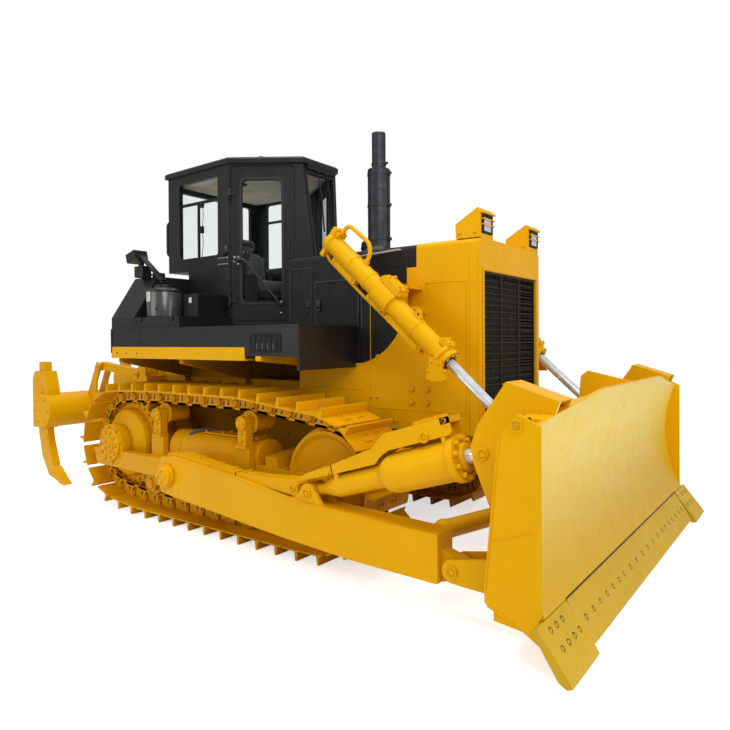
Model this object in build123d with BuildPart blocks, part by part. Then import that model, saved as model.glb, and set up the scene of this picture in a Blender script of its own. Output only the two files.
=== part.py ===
"""A crawler dozer with a straight blade, an angular cab and a three-shank ripper.

Millimetres. +X is forward, +Y the operator's left, +Z up. Z = 0 is the plane of the
grouser tips and the origin is the middle of the machine's footprint.
"""

from build123d import *
from math import atan2, cos, degrees, hypot, pi, radians, sin
import os

# Fits
seat = 0.3              # gap between a part and what carries it
running = 0.5           # radial gap of a pin in its bore
carrier_gap = 7         # the same at the carrier rollers, where the chain bends
side_gap = 12           # gap beside an eye that also swings sideways
plate = 25              # usual welded plate

# Undercarriage
track_gauge = 2000
shoe_width = 560
shoe_count = 38
shoe_plate = 14
grouser_height = 72
grouser_width = 18
link_half_height = 60
link_width = 44
link_offset = 78        # middle of a link strand from the middle of the track
ground_pitch_z = link_half_height + shoe_plate + grouser_height - 1
sprocket_x, sprocket_z = -1450, 652
sprocket_teeth = 27
sprocket_pitch_radius = 468
sprocket_width = 76
bush_radius = 35
idler_x = 1203
idler_pitch_radius = 455
idler_z = ground_pitch_z + idler_pitch_radius
carrier_xs = (-800, 370)
carrier_radius = 90
top_pitch_z = 1140
carrier_z = top_pitch_z - link_half_height - carrier_radius
roller_first_x, roller_step, roller_count = -970, 340, 6
roller_radius = 100
roller_z = ground_pitch_z + link_half_height + roller_radius
roller_flange = 16
frame_half_width = 150
frame_low_z, frame_top_z = 435, 640
outer_beam_y = (1140, 1290)
trunnion_x, trunnion_z, trunnion_radius = -250, 530, 60

# Hull
hull_half_width = 430
bar_x, bar_z = (560, 700), (frame_top_z, 790)      # equaliser bar
clearance_z = 405
deck_z = 1800
deck_thickness = 25

# Nose
nose_half_width = 580
nose_wall = 30
nose_front_x = 2240
nose_top_z = 2435
nose_low_z = 960
cover_rear_x = 300
cover_low_z = 1486
panel_gap = 6
grille_half_width = 504
grille_low_z, grille_top_z = 1120, 2190
grille_depth = 40

# Fenders
fender_half_width = 1280
fender_rear_x, fender_front_x = -1440, 1100
skirt_low_z, front_skirt_z = 1625, 1555
outrigger_x = 620
rail_low_z, rail_front_x = 1515, 490

# Cab
cab_rear_x, cab_rear_half = -1385, 640
door_post_x, door_post_half = -390, 665
cab_front_top_x, cab_front_low_x = 195, 335
cab_front_half = 250
cab_wall = 45
cab_floor = 30
cab_top_z = 3400
cab_step_x, cab_step_z = -1040, 2400
roof_thickness, roof_overhang = 62, 25
glass_thickness = 6

# Blade and its arms
blade_half_width = 1754
edge_half_width = 1862
mouldboard = 25
blade_top_z, blade_corner_z, blade_flat_half = 1372, 1236, 770
arm_y, arm_width, arm_height = 1397.5, 185, 330
arm_pin_x, arm_pin_z, arm_pin_radius, arm_bore_radius = 2514, 300, 40, 50
arm_tongue_width, arm_tongue_radius, arm_front_x = 80, 72, 2412
tilt_y = 1400
tilt_base_x, tilt_base_z = 1350, 600
base_eye_radius, base_pin_radius, base_ball_radius = 66, 33, 37
tilt_eye_x, tilt_eye_z = 2720, 1021
lift_y = 850
lift_pivot_x, lift_pivot_z = 1600, 2000
lift_eye_x, lift_eye_z = 2720, 1000
lift_tail, lift_head = 731, 723
lift_tube_radius, lift_rod_radius = 77, 37
lift_rod_length = 1271

# Ripper
ripper_y = 550
ripper_front_x, ripper_rear_x = -2000, -2800
ripper_low_z, ripper_high_z, ripper_rise = 620, 1305, 75
beam_x, beam_z, beam_radius, beam_half = -3130, 870, 200, 1160
shank_ys = (-1050, 0, 1050)
shank_width = 75
ripper_cylinder_y = 250
ripper_base_x, ripper_base_z = -1700, 1670
ripper_eye_x, ripper_eye_z = -2760, 740
ripper_tube_radius, ripper_tube_gap = 64, 7       # gap between the barrel and the beam's ears at full lift

pieces = {}


def side(y):
    """A sketch plane with x along the machine and y up, whose extrusions run to the right."""
    return Plane.XZ.offset(-y)


def block(x, y, z, mode=Mode.ADD):
    """A box between two values along each axis, in the part being built."""
    with Locations(((x[0] + x[1]) / 2, (y[0] + y[1]) / 2, (z[0] + z[1]) / 2)):
        Box(x[1] - x[0], y[1] - y[0], z[1] - z[0], mode=mode)


def bar(start, end, radius, mode=Mode.ADD):
    """A round bar from one point to another, in the part being built."""
    start, end = Vector(start), Vector(end)
    with Locations(Plane(start, z_dir=end - start)):
        Cylinder(radius, (end - start).length, align=(Align.CENTER, Align.CENTER, Align.MIN), mode=mode)


def cross_bar(x, z, radius, y, mode=Mode.ADD):
    """A round bar across the machine between two values of y."""
    bar((x, y[0], z), (x, y[1], z), radius, mode)


def along(start, end, distance):
    """The point at a distance from the first point towards the second, both as x and z."""
    length = hypot(end[0] - start[0], end[1] - start[1])
    share = distance / length
    return (start[0] + share * (end[0] - start[0]), start[1] + share * (end[1] - start[1]))


# Track path: a belt around the wheels, in x and z, forward along the top
track_wheels = (
    # x, z, pitch radius
    (sprocket_x, sprocket_z, sprocket_pitch_radius),
    (carrier_xs[0], carrier_z, carrier_radius + link_half_height),
    (carrier_xs[1], carrier_z, carrier_radius + link_half_height),
    (idler_x, idler_z, idler_pitch_radius),
    (roller_first_x - 110, roller_z, roller_radius + link_half_height),
)


def belt_runs(wheels):
    """The belt's straight runs and arcs in order, each with its length."""
    normals = []
    for (x1, z1, r1), (x2, z2, r2) in zip(wheels, wheels[1:] + wheels[:1]):
        span = hypot(x2 - x1, z2 - z1)
        dx, dz = (x2 - x1) / span, (z2 - z1) / span
        lean = (r1 - r2) / span
        rise = (1 - lean**2) ** 0.5
        normals.append((dx * lean - dz * rise, dz * lean + dx * rise))
    runs = []
    for i, (x, z, r) in enumerate(wheels):
        before, after = normals[i - 1], normals[i]
        start = atan2(before[1], before[0])
        turn = (start - atan2(after[1], after[0])) % (2 * pi)
        runs.append(("arc", (x, z), r, start, turn, r * turn))
        x2, z2, r2 = wheels[(i + 1) % len(wheels)]
        start_point = (x + r * after[0], z + r * after[1])
        end_point = (x2 + r2 * after[0], z2 + r2 * after[1])
        length = hypot(end_point[0] - start_point[0], end_point[1] - start_point[1])
        runs.append(("line", start_point, end_point, None, None, length))
    return runs


track_runs = belt_runs(track_wheels)
track_length = sum(run[-1] for run in track_runs)
shoe_pitch = track_length / shoe_count


def belt_point(distance):
    """The point on the pitch line at a distance along it."""
    distance %= track_length
    for kind, first, second, start, turn, length in track_runs:
        if distance <= length:
            break
        distance -= length
    if kind == "line":
        return along(first, second, distance)
    angle = start - distance / second
    return (first[0] + second * cos(angle), first[1] + second * sin(angle))


pins = [belt_point(i * shoe_pitch) for i in range(shoe_count)]


def link_point(i, forward, out):
    """A point of link i, measured from the middle between its pins."""
    (x1, z1), (x2, z2) = pins[i % shoe_count], pins[(i + 1) % shoe_count]
    span = hypot(x2 - x1, z2 - z1)
    tx, tz = (x2 - x1) / span, (z2 - z1) / span
    return ((x1 + x2) / 2 + tx * forward - tz * out, (z1 + z2) / 2 + tz * forward + tx * out)


def pin_point(i, out):
    """A point beside pin i, outward of the pitch line."""
    ahead, behind = link_point(i, 0, 0), link_point(i - 1, 0, 0)
    span = hypot(ahead[0] - behind[0], ahead[1] - behind[1])
    tx, tz = (ahead[0] - behind[0]) / span, (ahead[1] - behind[1]) / span
    x, z = pins[i % shoe_count]
    return (x - tz * out, z + tx * out)


plate_low, plate_top = link_half_height, link_half_height + shoe_plate - 1
grouser_tip = plate_top + grouser_height
grouser_back = -70
shoe_half = shoe_pitch / 2 - 3

belt_outside, belt_inside, chain_outside, chain_inside = [], [], [], []
for i in range(shoe_count):
    belt_outside += [
        link_point(i, -shoe_half, plate_top),
        link_point(i, grouser_back - 4, plate_top),
        link_point(i, grouser_back, grouser_tip),
        link_point(i, grouser_back + grouser_width, grouser_tip),
        link_point(i, grouser_back + grouser_width + 6, plate_top),
        link_point(i, shoe_half, plate_top),
    ]
    belt_inside.append(pin_point(i, plate_low))
    chain_outside.append(pin_point(i, plate_low + 2))
    chain_inside += [
        pin_point(i, 20 - link_half_height),
        link_point(i, 22 - shoe_pitch / 2, -link_half_height),
        link_point(i, shoe_pitch / 2 - 22, -link_half_height),
    ]

for name, sign in (("track_right", -1), ("track_left", 1)):
    middle = sign * track_gauge / 2
    with BuildPart() as track:
        with BuildSketch(side(middle)):
            Polygon(*belt_outside, align=None)
            Polygon(*belt_inside, align=None, mode=Mode.SUBTRACT)
        extrude(amount=shoe_width / 2, both=True)
        for strand in (-link_offset, link_offset):
            with BuildSketch(side(middle + strand)):
                Polygon(*chain_outside, align=None)
                Polygon(*chain_inside, align=None, mode=Mode.SUBTRACT)
            extrude(amount=link_width / 2, both=True)
    pieces[name] = track

# Sprockets, toothed so that the bushes of the chain lie between the teeth
sprocket_tip = sprocket_pitch_radius + 20
first_pin = degrees(atan2(pins[0][1] - sprocket_z, pins[0][0] - sprocket_x))
hub_radius = 340
with BuildPart() as sprockets:
    with BuildSketch(side(-track_gauge / 2)):
        with Locations((sprocket_x, sprocket_z)):
            Circle(sprocket_tip)
            Circle(hub_radius + seat, mode=Mode.SUBTRACT)
            with PolarLocations(sprocket_pitch_radius, sprocket_teeth, start_angle=first_pin):
                RectangleRounded(2 * bush_radius + 26, 2 * bush_radius, bush_radius - 1, mode=Mode.SUBTRACT)
    extrude(amount=sprocket_width / 2, both=True)
    mirror(about=Plane.XZ)
pieces["sprockets"] = sprockets

# Final drives: housing between hull and sprocket, domed cover and outer hub outside it
final_drive_profile = (
    # distance from the machine's middle, radius
    (hull_half_width + 90, 0),
    (hull_half_width + 90, 300),
    (720, 300),
    (780, hub_radius),
    (1075, hub_radius),
    (1110, 325),
    (1170, 215),
    (1190, 160),
    (1312, 160),
    (1318, 150),
    (1318, 0),
)
with BuildPart() as final_drives:
    with BuildSketch(Plane(origin=(sprocket_x, 0, sprocket_z), x_dir=(0, -1, 0), z_dir=(1, 0, 0))):
        Polygon(*final_drive_profile, align=None)
    revolve(axis=Axis((sprocket_x, 0, sprocket_z), (0, 1, 0)))
    mirror(about=Plane.XZ)
pieces["final_drives"] = final_drives

# Idlers: a rim between the link strands, treads under them and a dished disc
# The links' rails are chords of the pitch circle, so the tread lies inside it
idler_tread = (idler_pitch_radius**2 - (shoe_pitch / 2) ** 2) ** 0.5 - link_half_height - running
idler_profile = (
    # distance from the wheel's middle, radius
    (0, idler_tread + 28),
    (46, idler_tread + 28),
    (50, idler_tread),
    (110, idler_tread),
    (114, idler_tread - 25),
    (88, idler_tread - 60),
    (70, 120),
    (118, 110),
    (118, 0),
    (0, 0),
)
with BuildPart() as idlers:
    with BuildSketch(Plane(origin=(idler_x, -track_gauge / 2, idler_z), x_dir=(0, -1, 0), z_dir=(1, 0, 0))):
        Polygon(*idler_profile, align=None)
        mirror(about=Plane.YZ)
    revolve(axis=Axis((idler_x, 0, idler_z), (0, 1, 0)))
    mirror(about=Plane.XZ)
pieces["idlers"] = idlers

# Track rollers: twin treads with flanges outside the link strands
roller_profile = (
    # distance from the roller's middle, radius
    (0, roller_radius - 14),
    (48, roller_radius - 14),
    (52, roller_radius - seat),
    (104, roller_radius - seat),
    (106, roller_radius + roller_flange),
    (124, roller_radius + roller_flange - 4),
    (126, 40),
    (168, 40),
    (168, 0),
    (0, 0),
)
with BuildPart() as track_rollers:
    for i in range(roller_count):
        x = roller_first_x + i * roller_step
        with BuildSketch(Plane(origin=(x, -track_gauge / 2, roller_z), x_dir=(0, -1, 0), z_dir=(1, 0, 0))):
            Polygon(*roller_profile, align=None)
            mirror(about=Plane.YZ)
        revolve(axis=Axis((x, 0, roller_z), (0, 1, 0)))
    mirror(about=Plane.XZ)
pieces["track_rollers"] = track_rollers

# Carrier rollers, each on a spindle from its outboard post
post_y = (track_gauge / 2 + 128, track_gauge / 2 + 205)
carrier_profile = (
    # distance outboard of the track's middle, radius
    (-112, 0),
    (-112, carrier_radius - 12),
    (-104, carrier_radius - carrier_gap),
    (104, carrier_radius - carrier_gap),
    (106, carrier_radius + 10),
    (118, carrier_radius + 10),
    (118, 45),
    (128, 45),
    (128, 0),
)
with BuildPart() as carrier_rollers:
    for x in carrier_xs:
        with BuildSketch(Plane(origin=(x, -track_gauge / 2, carrier_z), x_dir=(0, -1, 0), z_dir=(1, 0, 0))):
            Polygon(*carrier_profile, align=None)
        revolve(axis=Axis((x, 0, carrier_z), (0, 1, 0)))
    mirror(about=Plane.XZ)
pieces["carrier_rollers"] = carrier_rollers

# Track frames: a beam over the rollers, the recoil housing, idler forks, carrier posts,
# and the outer beam that holds the final drive's outer hub and the blade's trunnion
frame_y = (track_gauge / 2 - frame_half_width, track_gauge / 2 + frame_half_width)
frame_rear_x = sprocket_x + sprocket_pitch_radius + 45
frame_front_x = idler_x - idler_tread - 60
fork_width = 34
idler_slot = 118 + seat
recoil_radius, recoil_z = 150, 690
with BuildPart() as track_frames:
    block((frame_rear_x, frame_front_x), frame_y, (frame_low_z, frame_top_z))
    with BuildSketch(Plane.YZ.offset(frame_rear_x + 250)):
        with Locations((track_gauge / 2, recoil_z)):
            Circle(recoil_radius)
            with Locations((0, -recoil_radius / 2)):
                Rectangle(2 * recoil_radius, recoil_radius)
    extrude(amount=bar_x[0] - 60 - frame_rear_x - 250)
    for y in (-1, 1):
        inner = track_gauge / 2 + y * idler_slot
        outer = track_gauge / 2 + y * (idler_slot + fork_width)
        block((frame_front_x - 60, idler_x + 120), sorted((inner, outer)), (500, 640))
        with Locations((idler_x, (inner + outer) / 2, idler_z)):
            Cylinder(95, fork_width, rotation=(90, 0, 0))
    for i in range(roller_count):
        x = roller_first_x + i * roller_step
        for y in (-1, 1):
            inner = track_gauge / 2 + y * 128
            outer = track_gauge / 2 + y * 166
            block((x - 70, x + 70), sorted((inner, outer)), (roller_z - 60, frame_low_z + 1))
            cross_bar(x, roller_z, 40 + running, (track_gauge / 2 - 180, track_gauge / 2 + 180), Mode.SUBTRACT)
    for x in carrier_xs:
        block((x - 50, x + 50), post_y, (frame_low_z + 100, carrier_z + 45))
        block((x - 90, x + 90), (frame_y[1] - 5, post_y[1]), (frame_low_z + 100, 780))
    block((frame_rear_x, 240), (frame_y[1] - 1, outer_beam_y[1]), (430, 600))
    with BuildSketch(side(outer_beam_y[1])):
        Polygon((-1760, 600), (-1700, 440), (frame_rear_x + 20, 430), (frame_rear_x + 20, 600), align=None)
        with Locations((sprocket_x, sprocket_z)):
            Circle(205)
    extrude(amount=90)
    cross_bar(sprocket_x, sprocket_z, 160 + seat, (1150, 1320), Mode.SUBTRACT)
    cross_bar(trunnion_x, trunnion_z, 110, (outer_beam_y[1] - 1, outer_beam_y[1] + 8))
    cross_bar(trunnion_x, trunnion_z, trunnion_radius, (outer_beam_y[1], 1530))
    mirror(about=Plane.XZ)
pieces["track_frames"] = track_frames

# Hull: belly, transmission case, side rails for the engine and the outriggers of the deck
pivot_x, pivot_z, pivot_radius = -640, 535, 88
hull_outline = (
    (-1800, 700), (-1640, clearance_z + 5), (1060, clearance_z + 5), (1300, 560), (2150, 760), (2150, nose_low_z),
    (500, nose_low_z), (400, 1300), (-1800, 1300),
)
with BuildPart() as main_frame:
    with BuildSketch(side(0)):
        Polygon(*hull_outline, align=None)
    extrude(amount=hull_half_width, both=True)
    block((1100, 2120), (-hull_half_width + 90, hull_half_width - 90), (700, nose_low_z + 1), Mode.SUBTRACT)
    block((440, 1101), (-hull_half_width + 90, hull_half_width - 90), (860, nose_low_z + 1), Mode.SUBTRACT)
    block((bar_x[0] - 20, bar_x[1] + 20), (-hull_half_width - 1, hull_half_width + 1), (bar_z[0] - 30, bar_z[1] + 40),
          Mode.SUBTRACT)
    cross_bar(pivot_x, pivot_z, pivot_radius, (-frame_y[0] + seat, frame_y[0] - seat))
    cross_bar(sprocket_x, sprocket_z, 320, (-hull_half_width - 90 + seat, hull_half_width + 90 - seat))
    for x in (-1380, -420):
        for y in (-1, 1):
            low = y * (hull_half_width - 10)
            with BuildSketch(Plane.YZ.offset(x)):
                Polygon((low, 1290), (low, rail_low_z), (y * 1235, rail_low_z), (y * 1235, 1475), align=None)
            extrude(amount=60)
            block((x, x + 60), sorted((low, y * (hull_half_width + 60))), (940, 1300))
    block((-1380, -360), (-hull_half_width + 20, hull_half_width - 20), (1290, deck_z - deck_thickness))
pieces["main_frame"] = main_frame

# Equaliser bar, rocking on a centre pin and resting on both track frames
with BuildPart() as equaliser_bar:
    with BuildSketch(Plane.YZ.offset(bar_x[0])):
        Polygon((-1120, bar_z[0]), (-1120, 720), (-400, bar_z[1]), (400, bar_z[1]), (1120, 720), (1120, bar_z[0]),
                align=None)
    extrude(amount=bar_x[1] - bar_x[0])
    bar((bar_x[0] - 20 + seat, 0, 726), (bar_x[1] + 20 - seat, 0, 726), 60)
pieces["equaliser_bar"] = equaliser_bar

# Engine, as one block with its sump, and the radiator core behind the grille
with BuildPart() as engine_block:
    block((520, 1560), (-300, 300), (1000, 1900))
    block((560, 1400), (-200, 200), (870, 1001))
    for x in (600, 1400):
        block((x, x + 100), (-390, 390), (nose_low_z, 1060))
pieces["engine_block"] = engine_block
with BuildPart() as radiator_core:
    block((1980, 2120), (-480, 480), (1060, 2300))
    for y in (-430, 350):
        block((2010, 2090), (y, y + 80), (nose_low_z + 25, 1061))
pieces["radiator_core"] = radiator_core

# Nose: the yellow guard and the black engine cover share one curved joint line
joint_top, joint_mid, joint_low = (1610, 2000), (1464, 1661), (1160, cover_low_z)
with BuildPart() as front_frame:
    with BuildSketch(side(0)):
        with BuildLine():
            Polyline(joint_top, (1610, 2250), (1700, 2250), (1700, nose_top_z), (nose_front_x, nose_top_z),
                     (nose_front_x, nose_low_z), (450, nose_low_z), (450, cover_low_z), joint_low)
            ThreePointArc(joint_low, joint_mid, joint_top)
        make_face()
    extrude(amount=nose_half_width, both=True)
    top_edges = front_frame.edges().filter_by(Axis.X).group_by(Axis.Z)[-1]
    fillet(top_edges, 45)
    block((400, nose_front_x - nose_wall), (-nose_half_width + nose_wall, nose_half_width - nose_wall),
          (nose_low_z - 1, nose_top_z - nose_wall), Mode.SUBTRACT)
    block((nose_front_x - nose_wall - 1, nose_front_x + 1), (-grille_half_width, grille_half_width),
          (grille_low_z, grille_top_z), Mode.SUBTRACT)
    block((1800, 2150), (-nose_half_width + 10, nose_half_width - 10), (nose_low_z, nose_low_z + 25))
    for y in (-1, 1):
        with BuildSketch(Plane.YZ.offset(outrigger_x)):
            Polygon((y * (nose_half_width - 5), 1440), (y * (nose_half_width - 5), cover_low_z - 2),
                    (y * (nose_half_width + 4), cover_low_z - 2), (y * (nose_half_width + 4), skirt_low_z),
                    (y * 640, skirt_low_z), (y * 700, front_skirt_z), (y * fender_half_width, front_skirt_z),
                    (y * fender_half_width, 1515), align=None)
        extrude(amount=60)
        for x in (500, 950):
            block((x, x + 80), sorted((y * (nose_half_width - 26), y * (nose_half_width - 8))),
                  (cover_low_z - 20, cover_low_z + panel_gap - seat))
pieces["front_frame"] = front_frame

with BuildPart() as engine_cover:
    with BuildSketch(side(0)):
        with BuildLine():
            gap = panel_gap
            Polyline((joint_top[0] - gap, joint_top[1]), (1610 - gap, 2250 + gap), (1700 - gap, 2250 + gap),
                     (1700 - gap, nose_top_z - 5), (cover_rear_x, nose_top_z - 5), (cover_rear_x, cover_low_z + gap),
                     (joint_low[0], cover_low_z + gap))
            ThreePointArc((joint_low[0], cover_low_z + gap), (joint_mid[0] - gap * 0.7, joint_mid[1] + gap * 0.7),
                          (joint_top[0] - gap, joint_top[1]))
        make_face()
    extrude(amount=nose_half_width - 4, both=True)
    top_edges = engine_cover.edges().filter_by(Axis.X).group_by(Axis.Z)[-1]
    fillet(top_edges, 45)
    block((cover_rear_x - 1, 1800), (-nose_half_width + nose_wall + 4, nose_half_width - nose_wall - 4),
          (cover_low_z - 1, nose_top_z - 5 - nose_wall), Mode.SUBTRACT)
    with BuildSketch(Plane.XY.offset(nose_top_z - 80)):
        with Locations((1070, -200)):
            Circle(104)
    extrude(amount=100, mode=Mode.SUBTRACT)
pieces["engine_cover"] = engine_cover

# Grille: a frame with upright and level slats
slat_count, slat_thickness = 21, 9
grille_x = (nose_front_x - nose_wall + 2, nose_front_x - nose_wall + 2 + 16)
with BuildPart() as radiator_grille:
    rim = 18
    grille_y = grille_half_width - seat
    grille_z = (grille_low_z + seat, grille_top_z - seat)
    block(grille_x, (-grille_y, grille_y), grille_z)
    block((grille_x[0] - 1, grille_x[1] + 1), (-grille_y + rim, grille_y - rim), (grille_z[0] + rim, grille_z[1] - rim),
          Mode.SUBTRACT)
    step = (grille_z[1] - grille_z[0] - 2 * rim) / (slat_count + 1)
    with Locations(*[(grille_x[0] + 5, 0, grille_z[0] + rim + step * (i + 1)) for i in range(slat_count)]):
        Box(9, 2 * grille_y - rim, slat_thickness)
    for y in (-grille_y / 3, grille_y / 3):
        block((grille_x[0], grille_x[1]), (y - 8, y + 8), (grille_z[0] + rim / 2, grille_z[1] - rim / 2))
pieces["radiator_grille"] = radiator_grille

# Headlamp pods
pod_y = (340, 565)
with BuildPart() as headlamp_pods:
    for y in (-1, 1):
        with BuildSketch(side(max(y * pod_y[0], y * pod_y[1]))):
            Polygon((2042, nose_top_z), (2038, 2545), (2222, 2655), (2240, 2640), (2240, nose_top_z), align=None)
        extrude(amount=pod_y[1] - pod_y[0])
        with Locations((2240, y * (pod_y[0] + pod_y[1]) / 2, 2540)):
            Cylinder(70, 60, rotation=(0, 90, 0), mode=Mode.SUBTRACT)
pieces["headlamp_pods"] = headlamp_pods

# Exhaust, standing on the engine through the cover
exhaust_x, exhaust_y = 1070, -200
exhaust_profile = (
    # radius, height
    (0, 1900), (95, 1900), (95, nose_top_z + 30), (128, nose_top_z + 34), (100, nose_top_z + 70), (100, 3195),
    (62, 3215), (62, 3520), (48, 3520), (48, 3300), (0, 3300),
)
with BuildPart() as exhaust_stack:
    with BuildSketch(Plane(origin=(exhaust_x, exhaust_y, 0), x_dir=(1, 0, 0), z_dir=(0, -1, 0))):
        Polygon(*exhaust_profile, align=None)
    revolve(axis=Axis((exhaust_x, exhaust_y, 0), (0, 0, 1)))
pieces["exhaust_stack"] = exhaust_stack

# Deck and fenders, one folded-plate tray with skirts
nose_notch = nose_half_width + 10
with BuildPart() as fenders:
    block((fender_rear_x, fender_front_x), (-fender_half_width, fender_half_width), (skirt_low_z, deck_z))
    for y in (-1, 1):
        inner, outer = y * 480, y * (fender_half_width - plate)
        block((fender_rear_x + plate, fender_front_x - plate), sorted((y * (nose_notch + plate), outer)),
              (skirt_low_z - 1, deck_z - deck_thickness), Mode.SUBTRACT)
        block((rail_front_x + 10, fender_front_x), sorted((outer, y * fender_half_width)), (front_skirt_z, skirt_low_z + 1))
        block((fender_front_x - plate, fender_front_x), sorted((y * nose_notch, y * fender_half_width)),
              (1450, skirt_low_z + 1))
    block((fender_rear_x + plate, cover_rear_x - 10 - plate), (-nose_notch, nose_notch),
          (skirt_low_z - 1, deck_z - deck_thickness), Mode.SUBTRACT)
    block((fender_rear_x + plate, cover_rear_x - 10 - plate), (-nose_notch - plate - 1, nose_notch + plate + 1),
          (skirt_low_z - 1, deck_z - deck_thickness), Mode.SUBTRACT)
    block((cover_rear_x - 10, fender_front_x + 1), (-nose_notch, nose_notch), (1440, deck_z + 1), Mode.SUBTRACT)
pieces["fenders"] = fenders

with BuildPart() as fender_rails:
    block((fender_rear_x, rail_front_x), (-fender_half_width, -fender_half_width + 16), (rail_low_z, skirt_low_z))
    block((fender_rear_x, rail_front_x), (-fender_half_width + 15, -fender_half_width + 110),
          (rail_low_z, rail_low_z + 16))
    mirror(about=Plane.XZ)
pieces["fender_rails"] = fender_rails

# Rear tank across the deck, bevelled at both ends
tank_x = (fender_rear_x, -1055)
with BuildPart() as rear_tank:
    with BuildSketch(Plane.YZ.offset(tank_x[0])):
        Polygon((-1275, deck_z), (-1275, 1910), (-1010, 2320), (1010, 2320), (1275, 1910), (1275, deck_z), align=None)
    extrude(amount=tank_x[1] - tank_x[0])
pieces["rear_tank"] = rear_tank

with BuildPart() as side_boxes:
    block((tank_x[1] + 6, -370), (-1275, -cab_rear_half - 30), (deck_z, 1905))
    mirror(about=Plane.XZ)
pieces["side_boxes"] = side_boxes


# Cab: plan with angled door panels, leaning front pane, stepped up over the rear tank
door_dx, door_dy = cab_front_top_x - door_post_x, door_post_half - cab_front_half
door_run = hypot(door_dx, door_dy)
cab_low_half = door_post_half - (cab_front_low_x - door_post_x) / door_dx * door_dy
cab_plan = (
    (cab_rear_x, -cab_rear_half), (door_post_x, -door_post_half), (cab_front_low_x, -cab_low_half),
    (cab_front_low_x, cab_low_half), (door_post_x, door_post_half), (cab_rear_x, cab_rear_half),
)
roof_plan = (
    (cab_rear_x - roof_overhang, -cab_rear_half - roof_overhang), (door_post_x, -door_post_half - roof_overhang),
    (cab_front_top_x + roof_overhang, -cab_front_half - 15), (cab_front_top_x + roof_overhang, cab_front_half + 15),
    (door_post_x, door_post_half + roof_overhang), (cab_rear_x - roof_overhang, cab_rear_half + roof_overhang),
)
pane_slope = (cab_front_low_x - cab_front_top_x) / (cab_top_z - deck_z)
cab_reach = 900


def pane_x(z):
    """Where the outside of the leaning front pane stands at a height."""
    return cab_front_low_x - pane_slope * (z - deck_z)


def pane_cut(depth, far=cab_reach):
    """The outline between the pane, or a plane behind it, and an upright far from it."""
    low, high = deck_z - 50, cab_top_z + 200
    return ((pane_x(low) - depth, low), (pane_x(high) - depth, high), (far, high), (far, low))


def door_plane(sign, depth=0):
    """A door panel's outside, or a plane behind it, with its origin on the door post."""
    return Plane(
        origin=(door_post_x - depth * door_dy / door_run, sign * (door_post_half - depth * door_dx / door_run), 0),
        x_dir=(-sign * door_dx, door_dy, 0),
        z_dir=(door_dy, sign * door_dx, 0),
    )


door_edges = (20, 634)          # along the panel, from the door post
door_gap = 5
door_z = (deck_z + 22, cab_top_z - 22)
door_thickness = 40
door_corner = 50
hinge_along, hinge_out = 8, 20           # hinge axis, from the door post's edge and out of the panel
hinge_pin, hinge_knuckle, hinge_height = 8, 15, 70
hinge_zs = (2080, 3120)
window_edges, window_z, window_corner = (112, 522), (2045, 3255), 60
rear_window_x, rear_window_z = (-1190, -560), (2530, 3310)
back_window_half, back_window_z = 500, (2520, 3280)
pane_corners = ((-140, 2490), (140, 2490), (198, 3320), (-198, 3320))
glass_depth = 18


def door_point(sign, distance, out, z):
    """A point beside a door panel, along it from the door post and out of it."""
    ux, uy, nx, ny = door_dx / door_run, -sign * door_dy / door_run, door_dy / door_run, sign * door_dx / door_run
    return (door_post_x + distance * ux + out * nx, sign * door_post_half + distance * uy + out * ny, z)


def door_block(sign, edges, out, z):
    """A box squared to a door panel, in the part being built."""
    with Locations(Plane(door_point(sign, sum(edges) / 2, sum(out) / 2, sum(z) / 2),
                         x_dir=(door_dx, -sign * door_dy, 0), z_dir=(0, 0, 1))):
        Box(edges[1] - edges[0], out[1] - out[0], z[1] - z[0])


def door_centre(sign, edges, z):
    """The middle of a rectangle on a door plane."""
    return (-sign * sum(edges) / 2, sum(z) / 2)


with BuildPart() as cab_hollow:
    with BuildSketch(Plane.XY.offset(deck_z + cab_floor)):
        Polygon(*cab_plan, align=None)
        offset(amount=-cab_wall, kind=Kind.INTERSECTION)
    extrude(amount=cab_top_z - deck_z - 2 * cab_floor)
    block((cab_rear_x, cab_step_x + cab_wall), (-800, 800), (deck_z, cab_step_z + cab_floor), Mode.SUBTRACT)
    with BuildSketch(side(0)):
        Polygon(*pane_cut(cab_wall), align=None)
    extrude(amount=cab_reach, both=True, mode=Mode.SUBTRACT)

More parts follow.
